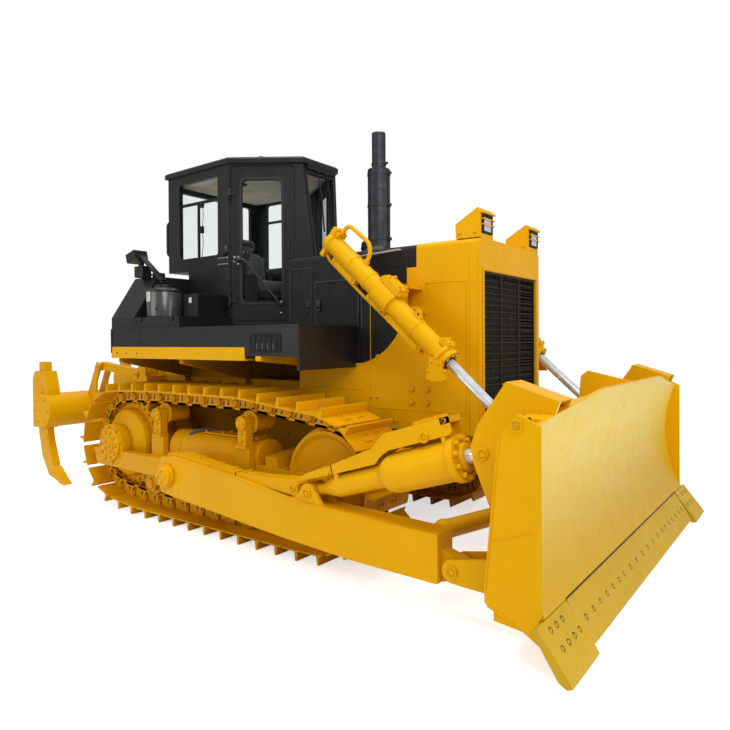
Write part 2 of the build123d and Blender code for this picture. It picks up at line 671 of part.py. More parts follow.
with BuildPart() as cab_shell:
    with BuildSketch(Plane.XY.offset(deck_z)):
        Polygon(*cab_plan, align=None)
    extrude(amount=cab_top_z - deck_z)
    block((cab_rear_x - 1, cab_step_x), (-800, 800), (deck_z - 1, cab_step_z), Mode.SUBTRACT)
    with BuildSketch(side(0)):
        Polygon(*pane_cut(0), align=None)
    extrude(amount=cab_reach, both=True, mode=Mode.SUBTRACT)
    add(cab_hollow.part, mode=Mode.SUBTRACT)
    for sign in (-1, 1):
        with BuildSketch(door_plane(sign, -10)):
            with Locations(door_centre(sign, door_edges, door_z)):
                RectangleRounded(door_edges[1] - door_edges[0] + 2 * door_gap, door_z[1] - door_z[0] + 2 * door_gap,
                                 door_corner)
        extrude(amount=-cab_wall - 30, mode=Mode.SUBTRACT)
        for z in hinge_zs:
            bar(door_point(sign, hinge_along, hinge_out, z - hinge_height),
                door_point(sign, hinge_along, hinge_out, z + hinge_height), hinge_pin)
            for low in (z - hinge_height, z + hinge_height / 2 + 2):
                door_block(sign, (hinge_along - 14, hinge_along + 6), (-5, hinge_out + 12),
                           (low, low + hinge_height / 2 - 2))
    with BuildSketch(side(0)):
        with Locations((sum(rear_window_x) / 2, sum(rear_window_z) / 2)):
            RectangleRounded(rear_window_x[1] - rear_window_x[0], rear_window_z[1] - rear_window_z[0], 30)
    extrude(amount=cab_reach, both=True, mode=Mode.SUBTRACT)
    with BuildSketch(Plane.YZ.offset(cab_rear_x - 10)):
        with Locations((0, sum(back_window_z) / 2)):
            RectangleRounded(2 * back_window_half, back_window_z[1] - back_window_z[0], 30)
    extrude(amount=cab_wall + 20, mode=Mode.SUBTRACT)
    with BuildSketch(Plane.YZ.offset(pane_x(cab_top_z) - cab_wall - 20)):
        Polygon(*pane_corners, align=None)
    extrude(amount=300, mode=Mode.SUBTRACT)
    with BuildSketch(Plane.XY.offset(cab_top_z)):
        Polygon(*roof_plan, align=None)
    extrude(amount=roof_thickness)
    chamfer(cab_shell.faces().sort_by(Axis.Z)[-1].edges(), 18)
pieces["cab_shell"] = cab_shell

with BuildPart() as cab_glass:
    wide, high = rear_window_x[1] - rear_window_x[0] - 2 * seat, rear_window_z[1] - rear_window_z[0] - 2 * seat
    with BuildSketch(side(-cab_rear_half + glass_depth)):
        with Locations((sum(rear_window_x) / 2, sum(rear_window_z) / 2)):
            RectangleRounded(wide, high, 30)
    extrude(amount=glass_thickness)
    mirror(about=Plane.XZ)
    with BuildSketch(Plane.YZ.offset(cab_rear_x + glass_depth)):
        with Locations((0, sum(back_window_z) / 2)):
            RectangleRounded(2 * back_window_half - 2 * seat, back_window_z[1] - back_window_z[0] - 2 * seat, 30)
    extrude(amount=glass_thickness)
pieces["cab_glass"] = cab_glass

with BuildPart() as front_pane:
    with BuildSketch(Plane.YZ.offset(100)):
        Polygon(*pane_corners, align=None)
        offset(amount=-seat, kind=Kind.INTERSECTION)
    extrude(amount=300)
    with BuildSketch(side(0)):
        Polygon(*pane_cut(glass_depth), align=None)
        Polygon(*pane_cut(glass_depth + glass_thickness, far=-cab_reach), align=None)
    extrude(amount=cab_reach, both=True, mode=Mode.SUBTRACT)
pieces["front_pane"] = front_pane

for name, sign in (("right", -1), ("left", 1)):
    with BuildPart() as door:
        with BuildSketch(door_plane(sign)):
            with Locations(door_centre(sign, door_edges, door_z)):
                RectangleRounded(door_edges[1] - door_edges[0], door_z[1] - door_z[0], door_corner)
            with Locations(door_centre(sign, window_edges, window_z)):
                RectangleRounded(window_edges[1] - window_edges[0], window_z[1] - window_z[0], window_corner,
                                 mode=Mode.SUBTRACT)
        extrude(amount=-door_thickness)
        for z in hinge_zs:
            door_block(sign, (hinge_along, 40), (5, 12), (z - hinge_height / 2, z + hinge_height / 2))
            door_block(sign, (26, 76), (-1, 12), (z - hinge_height / 2, z + hinge_height / 2))
            for radius, mode in ((hinge_knuckle, Mode.ADD), (hinge_pin + running, Mode.SUBTRACT)):
                bar(door_point(sign, hinge_along, hinge_out, z - hinge_height / 2),
                    door_point(sign, hinge_along, hinge_out, z + hinge_height / 2), radius, mode)
    pieces["door_" + name] = door
    with BuildPart() as door_glass:
        with BuildSketch(door_plane(sign, glass_depth)):
            with Locations(door_centre(sign, window_edges, window_z)):
                RectangleRounded(window_edges[1] - window_edges[0] - 2 * seat, window_z[1] - window_z[0] - 2 * seat,
                                 window_corner)
        extrude(amount=-glass_thickness)
    pieces["door_glass_" + name] = door_glass

# Inside the cab
inside_z = deck_z + cab_floor
with BuildPart() as operator_seat:
    with BuildSketch(side(0)):
        with BuildLine():
            Polyline((-880, 2330), (-930, 2860), (-1010, 2880), (-1020, 2760), (-960, 2180), (-420, 2180))
            ThreePointArc((-420, 2180), (-385, 2260), (-430, 2340))
            Line((-430, 2340), (-880, 2330))
        make_face()
    extrude(amount=250, both=True)
    block((-880, -500), (-200, 200), (inside_z, 2181))
    for y in (-1, 1):
        block((-860, -480), sorted((y * 262, y * 330)), (2420, 2480))
        block((-860, -790), sorted((y * 249, y * 330)), (2200, 2421))
pieces["operator_seat"] = operator_seat
with BuildPart() as control_console:
    block((-150, 60), (-180, 180), (inside_z, 2380))
    for y in (-1, 1):
        block((-760, -330), sorted((y * 350, y * 520)), (inside_z, 2330))
        bar((-420, y * 430, 2329), (-400, y * 430, 2520), 22)
pieces["control_console"] = control_console

# Grab rails at the rear corners of the cab
with BuildPart() as grab_rails:
    rail_x, rail_y = cab_rear_x - 75, -cab_rear_half + 40
    with BuildLine() as rail_path:
        FilletPolyline((cab_rear_x, rail_y, 2950), (rail_x, rail_y, 2950), (rail_x, rail_y, 2600),
                       (cab_rear_x, rail_y, 2600), radius=40)
    with BuildSketch(Plane(origin=(cab_rear_x, rail_y, 2950), z_dir=(-1, 0, 0))):
        Circle(13)
    sweep(path=rail_path.line)
    mirror(about=Plane.XZ)
pieces["grab_rails"] = grab_rails


def cylinder_plane(start, end, y):
    """A plane whose x runs from one end of a cylinder to the other, for its turned outline."""
    return Plane(origin=(start[0], y, start[1]), x_dir=(end[0] - start[0], 0, end[1] - start[1]), z_dir=(0, -1, 0))


def plane_axis(plane):
    """The x axis of a plane."""
    return Axis(plane.origin, plane.x_dir)


# Ends of the blade's trunnion pins: caps that carry the blade's sideways roll
with BuildPart() as trunnion_rings:
    cross_bar(trunnion_x, trunnion_z, 98, (-1526, -1494))
    cross_bar(trunnion_x, trunnion_z, trunnion_radius + running, (-1531, -1490), Mode.SUBTRACT)
    mirror(about=Plane.XZ)
pieces["trunnion_rings"] = trunnion_rings

# Push arms
arm_inner, arm_outer = arm_y - arm_width / 2, arm_y + arm_width / 2
arm_outline = (
    (-372, 600), (-340, 680), (-200, 692), (640, 618), (1300, 532), (arm_front_x, 500), (arm_front_x, 202),
    (1744, 213), (1100, 250), (-200, 360), (-340, 375), (-372, 450),
)
tilt_lug_width, tilt_eye_width = 28, 80
lug_inner = tilt_eye_width / 2 + side_gap
for name, sign in (("right", -1), ("left", 1)):
    with BuildPart() as push_arm:
        with BuildSketch(side(sign * arm_y)):
            Polygon(*arm_outline, align=None)
        extrude(amount=arm_width / 2, both=True)
        cross_bar(trunnion_x, trunnion_z, trunnion_radius + running, (sign * (arm_inner - 5), sign * (arm_outer + 5)),
                  Mode.SUBTRACT)
        with BuildSketch(side(sign * arm_y)):
            with Locations((arm_pin_x, arm_pin_z)):
                Circle(arm_tongue_radius)
            Polygon((arm_front_x - 5, arm_pin_z + 100), (arm_pin_x, arm_pin_z + arm_tongue_radius),
                    (arm_pin_x, arm_pin_z - arm_tongue_radius), (arm_front_x - 5, arm_pin_z - 100), align=None)
            with Locations((arm_pin_x, arm_pin_z)):
                Circle(arm_bore_radius, mode=Mode.SUBTRACT)
        extrude(amount=arm_tongue_width / 2, both=True)
        for y in (-1, 1):
            middle = sign * tilt_y + y * (lug_inner + tilt_lug_width / 2)
            with BuildSketch(side(middle)):
                with Locations((tilt_base_x, tilt_base_z)):
                    Circle(68)
                Polygon((tilt_base_x - 64, tilt_base_z + 20), (tilt_base_x + 64, tilt_base_z + 20),
                        (tilt_base_x + 150, 520), (tilt_base_x - 150, 520), align=None)
            extrude(amount=tilt_lug_width / 2, both=True)
        block((tilt_base_x - 100, tilt_base_x + 100),
              sorted((sign * tilt_y - lug_inner, sign * tilt_y + lug_inner)),
              (tilt_base_z - 74, tilt_base_z + 80), Mode.SUBTRACT)
        cross_bar(tilt_base_x, tilt_base_z, base_pin_radius,
                  (sign * tilt_y - lug_inner - 5, sign * tilt_y + lug_inner + 5))
        with Locations((tilt_base_x, sign * tilt_y, tilt_base_z)):
            Sphere(base_ball_radius)
        if sign < 0:
            with BuildSketch(side(-tilt_y)):
                Polygon((560, 620), (560, 645), (1200, 625), (1240, 575), (1240, 535), align=None)
            extrude(amount=55, both=True)
    pieces["push_arm_" + name] = push_arm

# Tilt cylinder on the right, a fixed brace of the same length on the left
tilt_plane = cylinder_plane((tilt_base_x, tilt_base_z), (tilt_eye_x, tilt_eye_z), -tilt_y)
tilt_length = hypot(tilt_eye_x - tilt_base_x, tilt_eye_z - tilt_base_z)
tilt_rod_radius, tilt_gland = 45, 1255
tilt_profile = (
    # distance from the base pin, radius
    (50, 0), (50, 40), (115, 40), (250, 80), (640, 80), (700, 118), (742, 130), (1205, 130), (1205, 146), (tilt_gland, 146),
    (tilt_gland, tilt_rod_radius + running), (780, tilt_rod_radius + running), (780, 0),
)
with BuildPart() as tilt_barrel:
    with BuildSketch(tilt_plane):
        Polygon(*tilt_profile, align=None)
    revolve(axis=plane_axis(tilt_plane))
    cross_bar(tilt_base_x, tilt_base_z, base_eye_radius, (-tilt_y - tilt_eye_width / 2, -tilt_y + tilt_eye_width / 2))
    cross_bar(tilt_base_x, tilt_base_z, base_ball_radius + running, (-tilt_y - 60, -tilt_y + 60), Mode.SUBTRACT)
    with BuildSketch(tilt_plane):
        Polygon((270, 40), (270, 150), (640, 190), (760, 262), (1200, 262), (1200, 90), (1170, 90), (1170, 240),
                (770, 240), (650, 168), (305, 132), (305, 40), align=None)
    extrude(amount=70, both=True)
pieces["tilt_barrel"] = tilt_barrel
with BuildPart() as tilt_rod:
    with BuildSketch(tilt_plane):
        Polygon((860, 0), (860, tilt_rod_radius), (tilt_length, tilt_rod_radius), (tilt_length, 0), align=None)
    revolve(axis=plane_axis(tilt_plane))
    cross_bar(tilt_eye_x, tilt_eye_z, 62, (-tilt_y - tilt_eye_width / 2, -tilt_y + tilt_eye_width / 2))
pieces["tilt_rod"] = tilt_rod
brace_plane = cylinder_plane((tilt_base_x, tilt_base_z), (tilt_eye_x, tilt_eye_z), tilt_y)
brace_profile = (
    (40, 0), (40, 38), (115, 38), (250, 62), (480, 62), (500, 84), (960, 84), (980, 62), (1360, 62), (tilt_length - 20, 55),
    (tilt_length - 20, 0),
)
with BuildPart() as brace_left:
    with BuildSketch(brace_plane):
        Polygon(*brace_profile, align=None)
    revolve(axis=plane_axis(brace_plane))
    for x, z in ((tilt_base_x, tilt_base_z), (tilt_eye_x, tilt_eye_z)):
        cross_bar(x, z, base_eye_radius - 4, (tilt_y - tilt_eye_width / 2, tilt_y + tilt_eye_width / 2))
    cross_bar(tilt_base_x, tilt_base_z, base_ball_radius + running, (tilt_y - 60, tilt_y + 60), Mode.SUBTRACT)
pieces["brace_left"] = brace_left

# Blade
edge_top, edge_tip = (3150, 262), (3290, 45)      # the line on which the cutting edge seats
front_top, front_mid, front_low = (3195, blade_top_z), (3040, 800), (3178, 285)
end_plate_outline = (
    (3164, blade_corner_z), (3035, 1300), (2930, 1174), (2850, 360), (2850, 290), (2880, 270), (3020, 220), (3220, 98),
    (3250, 85), (3146, 258), (3165, 290),
)
lifting_eye_x, lifting_eye_z, lifting_eye_radius = 3032, 1236, 26
top_beam_half = 1600
(ax, az), (bx, bz), (cx, cz) = front_top, front_mid, front_low
arc_turn = 2 * (ax * (bz - cz) + bx * (cz - az) + cx * (az - bz))
arc_squares = (ax**2 + az**2, bx**2 + bz**2, cx**2 + cz**2)
arc_x = (arc_squares[0] * (bz - cz) + arc_squares[1] * (cz - az) + arc_squares[2] * (az - bz)) / arc_turn
arc_z = (arc_squares[0] * (cx - bx) + arc_squares[1] * (ax - cx) + arc_squares[2] * (bx - ax)) / arc_turn
arc_radius = hypot(ax - arc_x, az - arc_z)


def plate_x(z):
    """The middle of the mouldboard's thickness at a height."""
    return arc_x - (arc_radius**2 - (z - arc_z) ** 2) ** 0.5 - mouldboard / 2


plate_line = tuple((plate_x(z), z) for z in (480, 750, 1050, 1345))
tower_outline = ((2860, 1440), (2685, 1190), (2640, 1060), (2660, 960), (2860, 480), *plate_line)
rib_outline = ((2850, 1440), (2800, 1400), (2780, 1180), (2880, 480), *plate_line[:-1], (plate_x(1366), 1366))
lift_eye_width, lift_ear_width, lift_side_gap = 70, 25, 30
lift_ear_outline = ((2650, 1040), (2650, 960), (2760, 900), *((plate_x(z), z) for z in (700, 950, 1180)), (2760, 1070))
arm_ear_width, arm_side_gap = 30, 24
with BuildPart() as blade:
    with BuildSketch(side(0)):
        with BuildLine():
            ThreePointArc(front_top, front_mid, front_low)
            Line(front_low, edge_top)
            ThreePointArc(edge_top, (front_mid[0] - mouldboard, front_mid[1]), (front_top[0] - mouldboard - 2, blade_top_z))
            Line((front_top[0] - mouldboard - 2, blade_top_z), front_top)
        make_face()
    extrude(amount=blade_half_width - 5, both=True)
    with BuildSketch(side(0)):
        Polygon((2900, 205), (2900, 480), (3085, 500), (3140, 262), (3215, 110), (3060, 190), align=None)
        Polygon((2960, 820), (2960, 850), (3030, 850), (3030, 820), align=None)
    extrude(amount=blade_half_width - 5, both=True)
    with BuildSketch(side(0)):
        Polygon((2985, 1130), (2990, 1290), (plate_x(1345), 1345), (plate_x(1080), 1080), align=None)
    extrude(amount=top_beam_half, both=True)
    for sign in (-1, 1):
        with BuildSketch(Plane.YZ.offset(2600)):
            Polygon((sign * blade_flat_half, blade_top_z), (sign * (blade_half_width + 5), blade_corner_z + 1),
                    (sign * (blade_half_width + 5), blade_top_z + 200), (sign * blade_flat_half, blade_top_z + 200),
                    align=None)
        extrude(amount=700, mode=Mode.SUBTRACT)
    with BuildSketch(side(-blade_half_width + plate), side(blade_half_width)):
        Polygon(*end_plate_outline, align=None)
    extrude(amount=plate)
    cross_bar(lifting_eye_x, lifting_eye_z, lifting_eye_radius, (-blade_half_width - 1, blade_half_width + 1),
              Mode.SUBTRACT)
    for sign in (-1, 1):
        for y in (sign * 1290, sign * 1485):
            with BuildSketch(side(y + plate / 2)):
                Polygon(*tower_outline, align=None)
            extrude(amount=plate)
        with BuildSketch(side(sign * 1387.5)):
            Polygon((2860, 1440), (2835, 1425), (3080, 1300), (plate_x(1345), 1345), align=None)
        extrude(amount=100, both=True)
        for y in (-1, 1):
            offset_y = lift_eye_width / 2 + lift_side_gap + lift_ear_width / 2
            with BuildSketch(side(sign * lift_y + y * offset_y + lift_ear_width / 2)):
                Polygon(*lift_ear_outline, align=None)
            extrude(amount=lift_ear_width)
            offset_y = arm_tongue_width / 2 + arm_side_gap + arm_ear_width / 2
            with BuildSketch(side(sign * arm_y + y * offset_y + arm_ear_width / 2)):
                with Locations((arm_pin_x, arm_pin_z)):
                    Circle(arm_tongue_radius)
                Polygon((arm_pin_x, arm_pin_z + arm_tongue_radius), (2920, 450), (2920, 215),
                        (arm_pin_x, arm_pin_z - arm_tongue_radius), align=None)
            extrude(amount=arm_ear_width)
        reach = arm_tongue_width / 2 + arm_side_gap + arm_ear_width
        cross_bar(arm_pin_x, arm_pin_z, arm_pin_radius, (sign * arm_y - reach, sign * arm_y + reach))
    with Locations((arm_pin_x, arm_y, arm_pin_z)):
        Sphere(arm_bore_radius - running)
    with BuildSketch(side(15)):
        Polygon(*rib_outline, align=None)
    extrude(amount=30)
pieces["blade"] = blade

# Cutting edge and end bits, bolted against the blade's lower front
edge_normal = (edge_tip[1] - edge_top[1], edge_top[0] - edge_tip[0])
edge_scale = 32 / hypot(*edge_normal)
edge_out = (-edge_normal[0] * edge_scale, -edge_normal[1] * edge_scale)
edge_outline = (edge_top, edge_tip, (edge_tip[0] + edge_out[0], edge_tip[1] + edge_out[1]),
                (edge_top[0] + edge_out[0], edge_top[1] + edge_out[1]))
bit_outline = (edge_top, (3285, 53), (3325, 30), (3355, 42), (3332, 80), (edge_top[0] + edge_out[0], edge_top[1] + edge_out[1]))
with BuildPart() as cutting_edge:
    with BuildSketch(side(0)):
        Polygon(*edge_outline, align=None)
    extrude(amount=1440, both=True)
    with BuildSketch(side(-1443)):
        Polygon(*bit_outline, align=None)
    extrude(amount=edge_half_width - 1443)
    with BuildSketch(side(edge_half_width)):
        Polygon(*bit_outline, align=None)
    extrude(amount=edge_half_width - 1443)
pieces["cutting_edge"] = cutting_edge

with BuildPart() as diagonal_strut:
    bar((2290, -1200, 440), (2830, 1240, 385), 62)
    with Locations((2290, -1200, 440)):
        Sphere(70)
    block((2830, 2900 - seat), (1190, 1290), (320, 450))
pieces["diagonal_strut"] = diagonal_strut

# Lift cylinders, each in a yoke that swivels on a bracket of the nose
bracket_x, lug_z = (1625, 1790), (65, 95)
yoke_y = (640, 742)
swivel_y, swivel_radius = 690, 25
barrel_pin_radius = 40
with BuildPart() as lift_brackets:
    block(bracket_x, (-nose_half_width - 22, -nose_half_width), (1880, 2120))
    for low, high in ((-lug_z[1], -lug_z[0]), (lug_z[0], lug_z[1])):
        block((lift_pivot_x - 60, bracket_x[1] - 20), (-yoke_y[1], -nose_half_width - 6),
              (lift_pivot_z + low, lift_pivot_z + high))
    bar((lift_pivot_x, -swivel_y, lift_pivot_z - 110), (lift_pivot_x, -swivel_y, lift_pivot_z + 110),
        swivel_radius + running, Mode.SUBTRACT)
    mirror(about=Plane.XZ)
pieces["lift_brackets"] = lift_brackets

lift_start, lift_end = (lift_pivot_x, lift_pivot_z), (lift_eye_x, lift_eye_z)
lift_length = hypot(lift_end[0] - lift_start[0], lift_end[1] - lift_start[1])
barrel_profile = (
    # distance from the trunnion, radius
    (-lift_tail, 0), (-lift_tail, 82), (-lift_tail + 45, 90), (-lift_tail + 60, lift_tube_radius),
    (-90, lift_tube_radius), (-90, 100), (90, 100), (90, lift_tube_radius), (lift_head - 90, lift_tube_radius),
    (lift_head - 80, 92), (lift_head, 92), (lift_head, lift_rod_radius + running),
    (-lift_tail + 60, lift_rod_radius + running), (-lift_tail + 60, 0),
)
for name, sign in (("right", -1), ("left", 1)):
    middle = sign * lift_y
    lift_plane = cylinder_plane(lift_start, lift_end, middle)
    with BuildPart() as lift_yoke:
        block((lift_pivot_x - 60, lift_pivot_x + 60), sorted((sign * yoke_y[0], sign * yoke_y[1])),
              (lift_pivot_z - lug_z[0] + seat, lift_pivot_z + lug_z[0] - seat))
        bar((lift_pivot_x, sign * swivel_y, lift_pivot_z - lug_z[1]), (lift_pivot_x, sign * swivel_y, lift_pivot_z + lug_z[1]),
            swivel_radius)
        cross_bar(lift_pivot_x, lift_pivot_z, barrel_pin_radius + running, (sign * 664, sign * (yoke_y[1] + 1)),
                  Mode.SUBTRACT)
    pieces["lift_yoke_" + name] = lift_yoke
    with BuildPart() as lift_barrel:
        with BuildSketch(lift_plane):
            Polygon(*barrel_profile, align=None)
        revolve(axis=plane_axis(lift_plane))
        cross_bar(lift_pivot_x, lift_pivot_z, barrel_pin_radius, (sign * 666, sign * (lift_y - lift_rod_radius - 8)))
    pieces["lift_barrel_" + name] = lift_barrel
    with BuildPart() as lift_rod:
        with BuildSketch(lift_plane):
            Polygon((lift_length - lift_rod_length, 0), (lift_length - lift_rod_length, lift_rod_radius),
                    (lift_length, lift_rod_radius), (lift_length, 0), align=None)
        revolve(axis=plane_axis(lift_plane))
        cross_bar(lift_eye_x, lift_eye_z, 60, (middle - lift_eye_width / 2, middle + lift_eye_width / 2))
    pieces["lift_rod_" + name] = lift_rod

# Ripper: a parallel linkage of lower arms and upper links, a beam and three shanks
ripper_pin_radius = 32
arm_half, link_half, ear = 45, 38, 25
front_low, front_high = (ripper_front_x, ripper_low_z), (ripper_front_x, ripper_high_z)
rear_low, rear_high = (ripper_rear_x, ripper_low_z + ripper_rise), (ripper_rear_x, ripper_high_z + ripper_rise)


def link_outline(start, end, radius):
    """The corners of a straight link between two pins, tangent to its eyes."""
    dx, dz = end[0] - start[0], end[1] - start[1]
    span = hypot(dx, dz)
    nx, nz = -dz / span * radius, dx / span * radius
    return (
        (start[0] + nx, start[1] + nz), (end[0] + nx, end[1] + nz), (end[0] - nx, end[1] - nz),
        (start[0] - nx, start[1] - nz),
    )


with BuildPart() as ripper_bracket:
    block((-1840, -1800), (-640, 640), (480, 1290))
    block((-1830, -1540), (-hull_half_width + 30, hull_half_width - 30), (1300, 1320))
    block((-1830, -1801), (-hull_half_width + 30, hull_half_width - 30), (1289, 1301))
    for y in (-1, 1):
        for gap in (-1, 1):
            inner = y * ripper_y + gap * (arm_half + side_gap)
            outer = y * ripper_y + gap * (arm_half + side_gap + ear)
            with BuildSketch(side(max(inner, outer))):
                Polygon((-1840, 480), (-1840, 1400), (-1960, 1400), (-2060, 1340), (-2060, 1250), (-1930, 1180),
                        (-1930, 720), (-2060, 670), (-2060, 575), (-1960, 520), align=None)
            extrude(amount=ear)
        for z in (ripper_low_z, ripper_high_z):
            half = arm_half + side_gap + ear
            cross_bar(ripper_front_x, z, ripper_pin_radius, (y * ripper_y - half, y * ripper_y + half))
        for gap in (-1, 1):
            inner = y * ripper_cylinder_y + gap * (40 + 6)
            outer = y * ripper_cylinder_y + gap * (40 + 6 + ear)
            with BuildSketch(side(max(inner, outer))):
                Polygon((-1750, ripper_base_z), (-1700, 1310), (-1560, 1310), (-1650, ripper_base_z), align=None)
                with Locations((ripper_base_x, ripper_base_z)):
                    Circle(52)
            extrude(amount=ear)
        cross_bar(ripper_base_x, ripper_base_z, 30, (y * ripper_cylinder_y - 60, y * ripper_cylinder_y + 60))
pieces["ripper_bracket"] = ripper_bracket

for name, start, end, half, radius in (
    ("ripper_arm", front_low, rear_low, arm_half, 62),
    ("ripper_links", front_high, rear_high, link_half, 52),
):
    with BuildPart() as linkage:
        for y in (-ripper_y, ripper_y):
            with BuildSketch(side(y)):
                Polygon(*link_outline(start, end, radius - 6), align=None)
                with Locations(start, end):
                    Circle(radius)
                    Circle(ripper_pin_radius + running, mode=Mode.SUBTRACT)
            extrude(amount=half, both=True)
        if name == "ripper_arm":
            cross_bar(-2350, (start[1] + end[1]) / 2 - 10, 55, (-ripper_y, ripper_y))
    pieces[name] = linkage

shank_outline = (
    (-3312, 1440), (-3170, 1440), (-3125, 640), (-3060, 330), (-2970, 190), (-2740, 38), (-2840, 45), (-3110, 110),
    (-3270, 330), (-3340, 600),
)
holder_outline = (
    (-3410, 660), (-3410, 1230), (-3360, 1330), (-3120, 1330), (-3050, 1120), (-3010, 720), (-3110, 660),
)
with BuildPart() as shank_slots:
    for y in shank_ys:
        with BuildSketch(side(y)):
            Polygon(*shank_outline, align=None)
            offset(amount=seat, kind=Kind.INTERSECTION)
        extrude(amount=shank_width / 2 + seat, both=True)
with BuildPart() as ripper_beam:
    cross_bar(beam_x, beam_z, beam_radius, (-beam_half, beam_half))
    for y in shank_ys:
        with BuildSketch(side(y)):
            Polygon(*holder_outline, align=None)
        extrude(amount=shank_width / 2 + 34, both=True)
    for y in (-1, 1):
        for gap in (-1, 1):
            inner = y * ripper_y + gap * (arm_half + side_gap)
            outer = y * ripper_y + gap * (arm_half + side_gap + ear)
            with BuildSketch(side(max(inner, outer))):
                Polygon((-2750, 1410), (-2850, 1430), (-3050, 1040), (-3050, 700), (-2850, 630), (-2745, 650), (-2745, 750),
                        (-2890, 820), (-2860, 1200), align=None)
            extrude(amount=ear)
        for z in (rear_low[1], rear_high[1]):
            half = arm_half + side_gap + ear
            cross_bar(ripper_rear_x, z, ripper_pin_radius, (y * ripper_y - half, y * ripper_y + half))
        for gap in (-1, 1):
            inner = y * ripper_cylinder_y + gap * (ripper_tube_radius + ripper_tube_gap)
            outer = y * ripper_cylinder_y + gap * (ripper_tube_radius + ripper_tube_gap + ear)
            with BuildSketch(side(max(inner, outer))):
                Polygon((-2710, 790), (-2710, 700), (-2900, 690), (-3060, 760), (-3060, 1000), align=None)
            extrude(amount=ear)
    add(shank_slots.part, mode=Mode.SUBTRACT)
pieces["ripper_beam"] = ripper_beam
with BuildPart() as ripper_shanks:
    for y in shank_ys:
        with BuildSketch(side(y)):
            Polygon(*shank_outline, align=None)
        extrude(amount=shank_width / 2, both=True)
pieces["ripper_shanks"] = ripper_shanks

ripper_length = hypot(ripper_eye_x - ripper_base_x, ripper_eye_z - ripper_base_z)
ripper_head, ripper_rod_length = 930, 926
ripper_profile = (
    (30, 0), (30, 36), (110, 36), (140, ripper_tube_radius), (ripper_head, ripper_tube_radius),
    (ripper_head, 30 + running), (100, 30 + running), (100, 0),
)
with BuildPart() as ripper_barrels:
    for y in (-ripper_cylinder_y, ripper_cylinder_y):
        ripper_plane = cylinder_plane((ripper_base_x, ripper_base_z), (ripper_eye_x, ripper_eye_z), y)
        with BuildSketch(ripper_plane):
            Polygon(*ripper_profile, align=None)
        revolve(axis=plane_axis(ripper_plane))
        cross_bar(ripper_base_x, ripper_base_z, 55, (y - 40, y + 40))
        cross_bar(ripper_base_x, ripper_base_z, 30 + running, (y - 60, y + 60), Mode.SUBTRACT)
pieces["ripper_barrels"] = ripper_barrels
with BuildPart() as ripper_rods:
    for y in (-ripper_cylinder_y, ripper_cylinder_y):
        ripper_plane = cylinder_plane((ripper_base_x, ripper_base_z), (ripper_eye_x, ripper_eye_z), y)
        with BuildSketch(ripper_plane):
            Polygon((ripper_length - ripper_rod_length, 0), (ripper_length - ripper_rod_length, 30), (ripper_length, 30),
                    (ripper_length, 0), align=None)
        revolve(axis=plane_axis(ripper_plane))
        cross_bar(ripper_eye_x, ripper_eye_z, 48, (y - ripper_tube_radius + 2, y + ripper_tube_radius - 2))
pieces["ripper_rods"] = ripper_rods

os.makedirs("parts", exist_ok=True)
for name, piece in pieces.items():
    piece.part.label = name
    export_step(piece.part, f"parts/{name}.step")
print("track", round(track_length), "shoe pitch", round(shoe_pitch, 2), "for", shoe_count)
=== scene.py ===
"""The looks of the crawler dozer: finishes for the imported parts, and the small pieces on them.

Metres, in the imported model's frame: +X forward, +Y the operator's left, +Z up.
"""

import math

import bmesh
import bpy
from mathutils import Matrix, Vector


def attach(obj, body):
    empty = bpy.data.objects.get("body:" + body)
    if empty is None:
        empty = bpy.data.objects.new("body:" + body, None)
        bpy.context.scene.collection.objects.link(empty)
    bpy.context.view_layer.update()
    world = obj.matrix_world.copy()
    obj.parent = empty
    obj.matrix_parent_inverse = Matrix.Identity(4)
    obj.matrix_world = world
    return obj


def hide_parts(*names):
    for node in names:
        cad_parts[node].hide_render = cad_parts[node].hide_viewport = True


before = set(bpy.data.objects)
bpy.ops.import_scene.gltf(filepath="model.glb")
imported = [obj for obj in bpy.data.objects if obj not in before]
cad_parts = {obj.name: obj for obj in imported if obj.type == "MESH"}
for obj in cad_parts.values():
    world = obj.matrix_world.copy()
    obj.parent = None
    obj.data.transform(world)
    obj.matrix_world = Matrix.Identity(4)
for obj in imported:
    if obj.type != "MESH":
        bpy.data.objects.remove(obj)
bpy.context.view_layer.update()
scene = bpy.context.scene
scene.view_settings.view_transform = "Standard"

# Camera: the photograph's place, turn and lens
camera_place = Vector((4.321, -4.744, 1.676))
camera_turn, camera_pitch, camera_roll = map(math.radians, (36.533, -0.499, -0.316))
image_size, focal_pixels = 730, 624.232
image_centre = (369.391, 345.752)
sensor = 36


def add_camera():
    """The camera, looking level past the blade's corner to the ripper."""
    ahead = Vector((-math.sin(camera_turn), math.cos(camera_turn), 0))
    right = Vector((math.cos(camera_turn), math.sin(camera_turn), 0))
    up = Vector((0, 0, 1))
    look = ahead * math.cos(camera_pitch) + up * math.sin(camera_pitch)
    up = up * math.cos(camera_pitch) - ahead * math.sin(camera_pitch)
    across = right * math.cos(camera_roll) + up * math.sin(camera_roll)
    up = up * math.cos(camera_roll) - right * math.sin(camera_roll)
    data = bpy.data.cameras.new("camera")
    data.sensor_width = sensor
    data.lens = focal_pixels / image_size * sensor
    data.shift_x = (image_size / 2 - image_centre[0]) / image_size
    data.shift_y = (image_centre[1] - image_size / 2) / image_size
    data.clip_start, data.clip_end = 0.05, 200
    camera = bpy.data.objects.new("camera", data)
    scene.collection.objects.link(camera)
    turn = Matrix((across, up, -look)).transposed().to_4x4()
    camera.matrix_world = Matrix.Translation(camera_place) @ turn
    scene.camera = camera


add_camera()

# Finishes


